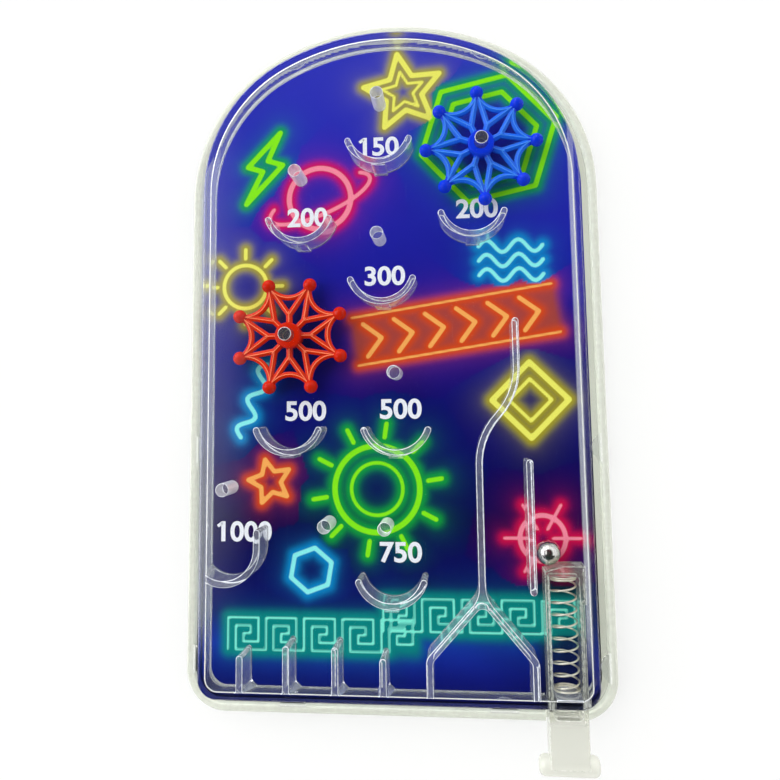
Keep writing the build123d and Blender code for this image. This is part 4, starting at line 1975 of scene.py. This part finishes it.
@dataclass
class SteelBall(SubAssembly):
    """Polished ball that waits on the plunger."""

    subdivisions: int = 5
    smooth_deg: float = 60.0

    def build(self) -> list[Object]:
        """Builds and dresses the ball.

        Returns:
            The ball.
        """
        low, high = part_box("ball")
        bm = bmesh.new()
        bmesh.ops.create_icosphere(
            bm, subdivisions=self.subdivisions, radius=(high.z - low.z) / 2,
            matrix=Matrix.Translation((low + high) / 2),
        )
        ball = new_piece("ball_polished", bm, (BallSteel().make(),), self.smooth_deg)
        return [dress(ball, "ball", "ball_steel", "ball")]


@dataclass(frozen=True)
class Stroke:
    """One neon line through points of the card, in millimetres."""

    points: tuple[Point, ...]
    neon: Neon
    width: float = 1.1

    def gap(self, spots: np.ndarray) -> np.ndarray:
        """Distance of spots from the line's edge.

        Args:
            spots: places on the card in millimetres.

        Returns:
            The gaps, negative inside the line.
        """
        best = np.full(len(spots), np.inf)
        for start, end in zip(self.points, self.points[1:]):
            a, b = np.array(start), np.array(end)
            run = b - a
            share = np.clip(((spots - a) @ run) / max(run @ run, 1e-9), 0, 1)
            best = np.minimum(best, np.linalg.norm(spots - a - share[:, None] * run, axis=1))
        return best - self.width / 2


@dataclass(frozen=True)
class Panel:
    """Soft-edged coloured block behind some lines, in millimetres; one dark block is painted shade."""

    middle: Point
    half: Point
    turn_deg: float
    colour: str
    share: float = 0.8
    soft: float = 1.6

    def cover(self, spots: np.ndarray) -> np.ndarray:
        """Share of the panel's colour at spots.

        Args:
            spots: places on the card in millimetres.

        Returns:
            Shares from 0 to 1.
        """
        angle = math.radians(self.turn_deg)
        way = np.array([math.cos(angle), math.sin(angle)])
        moved = spots - np.array(self.middle)
        own = np.stack([moved @ way, moved @ np.array([-way[1], way[0]])], axis=1)
        beyond = np.maximum(np.abs(own) - np.array(self.half), 0)
        return self.share * np.exp(-((np.linalg.norm(beyond, axis=1) / self.soft) ** 2))


class Motif:
    """Shapes about the origin that neon strokes follow, in millimetres."""

    ARC_STEP_DEG = 6
    WAVE_STEPS = 12

    @staticmethod
    def turned(points: Iterable[Point], middle: Point, degrees: float = 0.0) -> tuple[Point, ...]:
        """Points that are turned and moved to a middle."""
        c, s = math.cos(math.radians(degrees)), math.sin(math.radians(degrees))
        return tuple((middle[0] + c * x - s * y, middle[1] + s * x + c * y) for x, y in points)

    @classmethod
    def arc(cls, radius: float, start: float, end: float, squash: float = 1.0) -> list[Point]:
        """Arc between two angles, flattened by a factor."""
        count = max(8, int(abs(end - start) / cls.ARC_STEP_DEG))
        angles = [math.radians(start + (end - start) * i / count) for i in range(count + 1)]
        return [(radius * math.cos(a), squash * radius * math.sin(a)) for a in angles]

    @classmethod
    def ring(cls, radius: float) -> list[Point]:
        """Full circle."""
        return cls.arc(radius, 0, 360)

    @staticmethod
    def star(outer: float, inner: float, points: int = 5) -> list[Point]:
        """Closed star with a point upwards."""
        count = 2 * points
        radii = [outer if i % 2 == 0 else inner for i in range(count + 1)]
        angles = [math.pi / 2 + math.tau * i / count for i in range(count + 1)]
        return [(r * math.cos(a), r * math.sin(a)) for r, a in zip(radii, angles)]

    @staticmethod
    def polygon(radius: float, sides: int) -> list[Point]:
        """Closed regular polygon."""
        angles = [math.tau * i / sides for i in range(sides + 1)]
        return [(radius * math.cos(a), radius * math.sin(a)) for a in angles]

    @staticmethod
    def bolt(size: float) -> list[Point]:
        """Closed zigzag flash."""
        shape = [(0.1, 1.0), (-0.42, -0.08), (-0.02, -0.08), (-0.16, -1.0), (0.42, 0.22), (0.02, 0.22)]
        return [(size * x, size * y) for x, y in (*shape, shape[0])]

    @staticmethod
    def key_run(cell: float, count: int) -> list[Point]:
        """Running key pattern of square turns."""
        turn = [(0, 0), (0, 4), (4, 4), (4, 1), (2, 1), (2, 2), (3, 2), (3, 3), (1, 3), (1, 0)]
        return [(cell * (x + 5 * i), cell * y) for i in range(count) for x, y in turn]

    @classmethod
    def wave(cls, length: float, height: float, count: float) -> list[Point]:
        """Smooth wave along X."""
        steps = int(cls.WAVE_STEPS * count)
        shares = [i / steps for i in range(steps + 1)]
        return [(length * (share - 0.5), height * math.sin(math.tau * count * share)) for share in shares]


@dataclass
class PlayfieldPrint(SubAssembly):
    """Neon print of the card: strokes, panels, white score numbers and a dark patch of painted shade under
    the plunger.
    """

    outline: CaseOutline
    heights: Heights
    cell: float = 0.42 * MM
    inset: float = 2.0 * MM
    border: float = 1.2 * MM
    lift: float = 0.012 * MM
    ink_lift: float = 0.03 * MM
    ink_t: float = 0.01 * MM
    back_t: float = 0.05 * MM
    fade: float = 12.0
    digit_h: float = 4.1 * MM
    digit_w_share: float = 1.06
    digit_bold: float = 0.026
    digit_depth: float = 0.01
    flag_l: float = 0.27
    flag_w: float = 0.15
    flag_deg: float = 38.0
    flag_back: float = 0.30
    flag_drop: float = 0.8
    panels_and_painted_shade: tuple[Panel, ...] = (
        Panel((12.8, 5.9), (20.0, 4.2), 8.5, "#B04A06"),
        Panel((-14.8, -55.5), (18.4, 2.8), 0.0, "#067A74"),
        Panel((16.6, -51.5), (18.4, 2.8), 0.0, "#067A74"),
        # Painted shade: a dark patch under the plunger's lane, not part of the print.
        Panel((32.2, -55.0), (3.4, 12.0), 0.0, "#0B1014", share=0.72),
    )
    scores: dict[str, Point] = field(default_factory=lambda: {
        "150": (-2.3, 44.3), "200_left": (-17.7, 29.5), "200_right": (17.9, 30.1), "300": (-1.4, 16.5),
        "500_left": (-18.1, -11.2), "500_right": (1.5, -11.0), "1000": (-30.8, -35.5), "750": (1.1, -39.4),
    })

    def strokes(self) -> list[Stroke]:
        """Every neon line of the print.

        Returns:
            The strokes.
        """
        made: list[Stroke] = []

        def draw(
            shape: Iterable[Point], middle: Point, neon: Neon, turn: float = 0.0, width: float = 1.1,
        ) -> None:
            """Adds one shape at a place."""
            made.append(Stroke(Motif.turned(shape, middle, turn), neon, width))

        draw(Motif.star(8.6, 4.0), (3.0, 56.0), Neon.YELLOW, 8)
        draw(Motif.star(4.6, 2.1), (3.0, 56.0), Neon.YELLOW, 8, 0.6)
        draw(Motif.bolt(8.5), (-27.0, 40.5), Neon.GREEN, -18)
        draw(Motif.ring(6.6), (-15.0, 33.5), Neon.PINK)
        draw(Motif.arc(11.5, 150, 390, 0.30), (-15.0, 33.5), Neon.PINK, 22, 0.8)
        for radius in (14.2, 10.4):
            draw(Motif.polygon(radius, 6), (20.5, 45.0), Neon.GREEN, 12, 1.0)
        for index in range(3):
            draw(Motif.wave(13.0, 1.3, 2), (24.5, 22.0 - 3.0 * index), Neon.CYAN, 0, 0.8)
        for index in range(6):
            arrow = [(-2.6, 3.4), (0.8, 0.0), (-2.6, -3.4)]
            draw(arrow, (-3.0 + 6.4 * index, 3.5 + 0.95 * index), Neon.ORANGE, 8.5, 0.9)
        for side in (-1, 1):
            draw([(-20.5, side * 5.0), (21.0, side * 5.0)], (12.5, 5.9), Neon.ORANGE, 8.5, 0.5)
        draw(Motif.ring(4.6), (-31.0, 15.0), Neon.YELLOW, 0, 0.8)
        for index in range(8):
            draw([(6.0, 0.0), (8.0, 0.0)], (-31.0, 15.0), Neon.YELLOW, 45 * index, 0.8)
        draw(Motif.wave(16.0, 1.5, 2.5), (-29.0, -9.0), Neon.CYAN, 70, 0.9)
        for radius, width in ((7.6, 1.1), (4.2, 0.7)):
            draw(Motif.polygon(radius, 4), (27.5, -9.5), Neon.YELLOW, 0, width)
        for radius, width in ((8.6, 1.1), (5.2, 0.7)):
            draw(Motif.ring(radius), (-3.5, -27.0), Neon.GREEN, 0, width)
        for index in range(10):
            draw([(10.4, 0.0), (13.2, 0.0)], (-3.5, -27.0), Neon.GREEN, 36 * index + 9, 0.9)
        draw(Motif.star(4.6, 2.2), (-25.5, -25.5), Neon.ORANGE, 14, 0.9)
        draw(Motif.polygon(4.4, 6), (-17.0, -43.0), Neon.CYAN, 20, 0.9)
        for index in range(6):
            draw(Motif.arc(4.4, -62, 62), (29.0, -36.5), Neon.PINK, 60 * index, 0.9)
            draw([(2.0, 0.0), (7.4, 0.0)], (29.0, -36.5), Neon.PINK, 60 * index, 0.6)
        for corner in ((-34.0, -58.6), (-2.6, -54.6)):
            draw(Motif.key_run(1.55, 5), corner, Neon.TEAL, 0, 0.45)
        return made

    def sheet(self, finish: Material) -> Object:
        """Fine sheet over the card that carries the lines as attributes.

        Args:
            finish: the print.

        Returns:
            The sheet.
        """
        half_w, half_l = self.outline.half_w - self.inset, self.outline.half_l - self.inset
        place = Matrix.Translation(UP * (self.heights.card_top + self.lift))
        bm = bmesh.new()
        bmesh.ops.create_grid(
            bm, x_segments=round(2 * half_w / self.cell), y_segments=round(2 * half_l / self.cell), size=1.0,
            matrix=place @ Matrix.Diagonal((half_w, half_l, 1, 1)),
        )
        depth = self.outline.depth(np.array([vert.co.xy for vert in bm.verts]))
        out = [vert for vert, inside in zip(bm.verts, depth) if inside < self.inset]
        bmesh.ops.delete(bm, geom=out, context="VERTS")
        sheet = new_piece("card_artwork", bm, (finish,))
        self.ink_lines(sheet.data)
        return sheet

    def ink_lines(self, mesh: bpy.types.Mesh) -> None:
        """Writes each spot's gap to the nearest line and that line's colours.

        Args:
            mesh: the sheet's mesh.
        """
        count = len(mesh.vertices)
        flat = np.zeros(count * 3)
        mesh.vertices.foreach_get("co", flat)
        spots = flat.reshape(-1, 3)[:, :2] / MM
        gap = np.full(count, np.inf)
        depth = self.outline.depth(spots * MM)
        printed = np.clip((depth - self.inset) / self.border, 0, 1)
        core, halo, panel = (np.zeros((count, 4)) for _ in range(3))
        for stroke in self.strokes():
            own = stroke.gap(spots)
            nearer = own < gap
            gap[nearer] = own[nearer]
            core[nearer] = (*stroke.neon.core, 1.0)
            halo[nearer] = (*stroke.neon.halo, 1.0)
        for block in self.panels_and_painted_shade:
            own = block.cover(spots) * printed
            thicker = own > panel[:, 3]
            panel[thicker, :3] = linear(block.colour)
            panel[thicker, 3] = own[thicker]
        gap += self.fade * (1 - printed)
        for name, values in (("line_gap", gap), ("edge_depth", depth / MM)):
            mesh.attributes.new(name, "FLOAT", "POINT").data.foreach_set("value", values)
        for name, values in (("line_core", core), ("line_halo", halo), ("panel", panel)):
            mesh.attributes.new(name, "FLOAT_COLOR", "POINT").data.foreach_set("color", values.ravel())

    def number(self, name: str, middle: Point, ink: Material) -> Object:
        """White score number.

        Args:
            name: the number, with a side after it where there are two.
            middle: its place on the card in millimetres.
            ink: its finish.

        Returns:
            The printed number.
        """
        words = bpy.data.curves.new(f"words_{name}", "FONT")
        words.body = name.split("_")[0]
        words.offset = self.digit_bold
        words.extrude = self.digit_depth
        writing = bpy.data.objects.new("writing", words)
        bpy.context.scene.collection.objects.link(writing)
        mesh = settled(writing)
        bpy.data.objects.remove(writing)
        corners = np.array([v.co for v in mesh.vertices])
        low, high = corners.min(0), corners.max(0)
        height, thick = high[1] - low[1], high[2] - low[2]
        centre = Vector((low + high) / 2)
        bm = bmesh.new()
        bm.from_mesh(mesh)
        if words.body.startswith("1"):
            centre.x -= self.flag_l * height / 3
            self.flag(bm, Vector((*low[:2], centre.z)), height, thick)
        scale = self.digit_h / height
        target = Vector((middle[0] * MM, middle[1] * MM, self.heights.card_top + self.ink_lift))
        shrink = Matrix.Diagonal((scale * self.digit_w_share, scale, self.ink_t / thick, 1.0))
        placing = Matrix.Translation(target) @ shrink @ Matrix.Translation(-centre)
        bmesh.ops.transform(bm, matrix=placing, verts=bm.verts)
        return new_piece(f"score_print_{name}", bm, (ink,))

    def flag(self, bm: BMesh, corner: Vector, height: float, thick: float) -> None:
        """Slanted stroke at the top of a one.

        Args:
            bm: the number's mesh.
            corner: lower left corner of the number.
            height: height of the digits.
            thick: thickness of the ink.
        """
        length, width = self.flag_l * height, self.flag_w * height
        turned = Matrix.Rotation(math.radians(self.flag_deg), 4, "Z")
        tip = corner + Vector((0.0, height - self.flag_drop * width, 0.0))
        middle = tip - turned.to_3x3() @ Vector((self.flag_back * length, 0.0, 0.0))
        size = Matrix.Diagonal((length, width, thick, 1.0))
        bmesh.ops.create_cube(bm, size=1.0, matrix=Matrix.Translation(middle) @ turned @ size)

    def build(self) -> list[Object]:
        """Builds and dresses the card's print.

        Returns:
            The sheet and the numbers.
        """
        back_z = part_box("playfield_card")[0].z + self.back_t
        plain = CardPrint("card_board", self.outline.half_l, back_z)
        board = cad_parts["playfield_card"]
        board.data.materials.clear()
        board.data.materials.append(plain.make())
        pieces = [self.sheet(replace(plain, name="card_neon", has_lines=True).make())]
        white = WhiteInk().make()
        pieces += [self.number(name, middle, white) for name, middle in self.scores.items()]
        return [dress(piece, "case", "card_print") for piece in pieces]


@dataclass
class Studio:
    """Camera, white floor and soft side light under a dark ceiling.

    The pairs are the ends of smooth rises over the parts of the direction that light comes from.
    """

    eye: Triple = (12.88 * MM, -11.66 * MM, 161.44 * MM)
    turn_deg: Triple = (6.491, 6.262, -0.616)
    lens: float = 36.0
    sensor: float = 36.0
    shift: Point = (0.0244, -0.0862)
    near: float = 0.01
    floor_half: float = 1.5
    ring_strength: float = 1.60
    ceiling_strength: float = 0.03
    ceiling_up: Point = (0.66, 0.88)
    player_side: Point = (0.26, 0.36)
    player_up: Point = (0.36, 0.46)
    glow_strength: float = 1.6
    glow_side: Point = (0.24, 0.36)
    glow_up: Point = (0.80, 0.88)
    glow_far: Point = (-0.30, -0.10)
    key_strength: float = 2.4
    key_way: Triple = (-0.66, 0.45, 0.60)
    key_spread: Point = (0.55, 0.92)
    horizon: float = 0.25

    def camera(self) -> None:
        """Camera of the photograph's view."""
        lens = bpy.data.cameras.new("view")
        lens.sensor_width = self.sensor
        lens.lens = self.lens
        lens.shift_x, lens.shift_y = self.shift
        lens.clip_start = self.near
        camera = bpy.data.objects.new("view", lens)
        turned = Euler([math.radians(angle) for angle in self.turn_deg]).to_matrix().to_4x4()
        camera.matrix_world = Matrix.Translation(self.eye) @ turned
        bpy.context.scene.collection.objects.link(camera)
        bpy.context.scene.camera = camera

    def floor(self) -> None:
        """White table under the game."""
        bm = bmesh.new()
        bmesh.ops.create_grid(bm, x_segments=1, y_segments=1, size=self.floor_half)
        new_piece("floor", bm, (FloorWhite().make(),))

    def world(self) -> None:
        """Bright all round, dim overhead, and white where the camera looks past the table."""
        world = bpy.data.worlds.new("studio")
        bpy.context.scene.world = world
        graph = Graph(world)
        way = graph.node("ShaderNodeTexCoord")["Generated"]
        x, y, z = graph.split(way)
        player = (-1.0 * y).ramp(*self.player_side) * z.ramp(*self.player_up)
        ceiling = z.ramp(*self.ceiling_up).at_least(player)
        toward = graph.node("ShaderNodeVectorMath", {"operation": "DOT_PRODUCT"}, {0: way, 1: self.key_way})
        key = self.key_strength * toward["Value"].ramp(*self.key_spread)
        glow = (-1.0 * x).ramp(*self.glow_side) * z.ramp(*self.glow_up) * y.ramp(*self.glow_far)
        light = (self.ring_strength + key) * (1 - ceiling) + self.ceiling_strength * ceiling
        light = light + self.glow_strength * glow
        path = graph.node("ShaderNodeLightPath")
        behind = path["Is Transmission Ray"] * (path["Diffuse Depth"] < 0.5) * (z < self.horizon)
        seen = path["Is Camera Ray"].at_least(behind)
        inputs = {"Color": "#FFFFFF", "Strength": light * (1 - seen) + seen}
        shader = graph.node("ShaderNodeBackground", None, inputs)["Background"]
        graph.node("ShaderNodeOutputWorld", None, {"Surface": shader})

    def build(self) -> None:
        """Sets the studio up."""
        bpy.context.scene.view_settings.view_transform = "Standard"
        self.camera()
        self.floor()
        self.world()


def main() -> None:
    """Builds the studio and every piece of the game in order."""
    logging.basicConfig(level=logging.INFO, format="%(name)s %(message)s")
    Studio().build()
    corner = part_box("base_tray")[1]
    outline = CaseOutline(corner.x, corner.y)
    heights = Heights()
    plunger = Plunger()
    assemblies: tuple[SubAssembly, ...] = (
        PlayfieldPrint(outline, heights),
        BaseTray(outline, heights, plunger.x),
        CoverMoulding(outline, heights, plunger.x),
        plunger,
        LaunchSpring(),
        WebSpinner(WheelColour.RED, 23.0),
        WebSpinner(WheelColour.BLUE, 3.0),
        SteelBall(),
    )
    for assembly in assemblies:
        for piece in assembly.build():
            LOG.info("%s: %d faces", piece.name, len(piece.data.polygons))


if __name__ == "__main__":
    main()
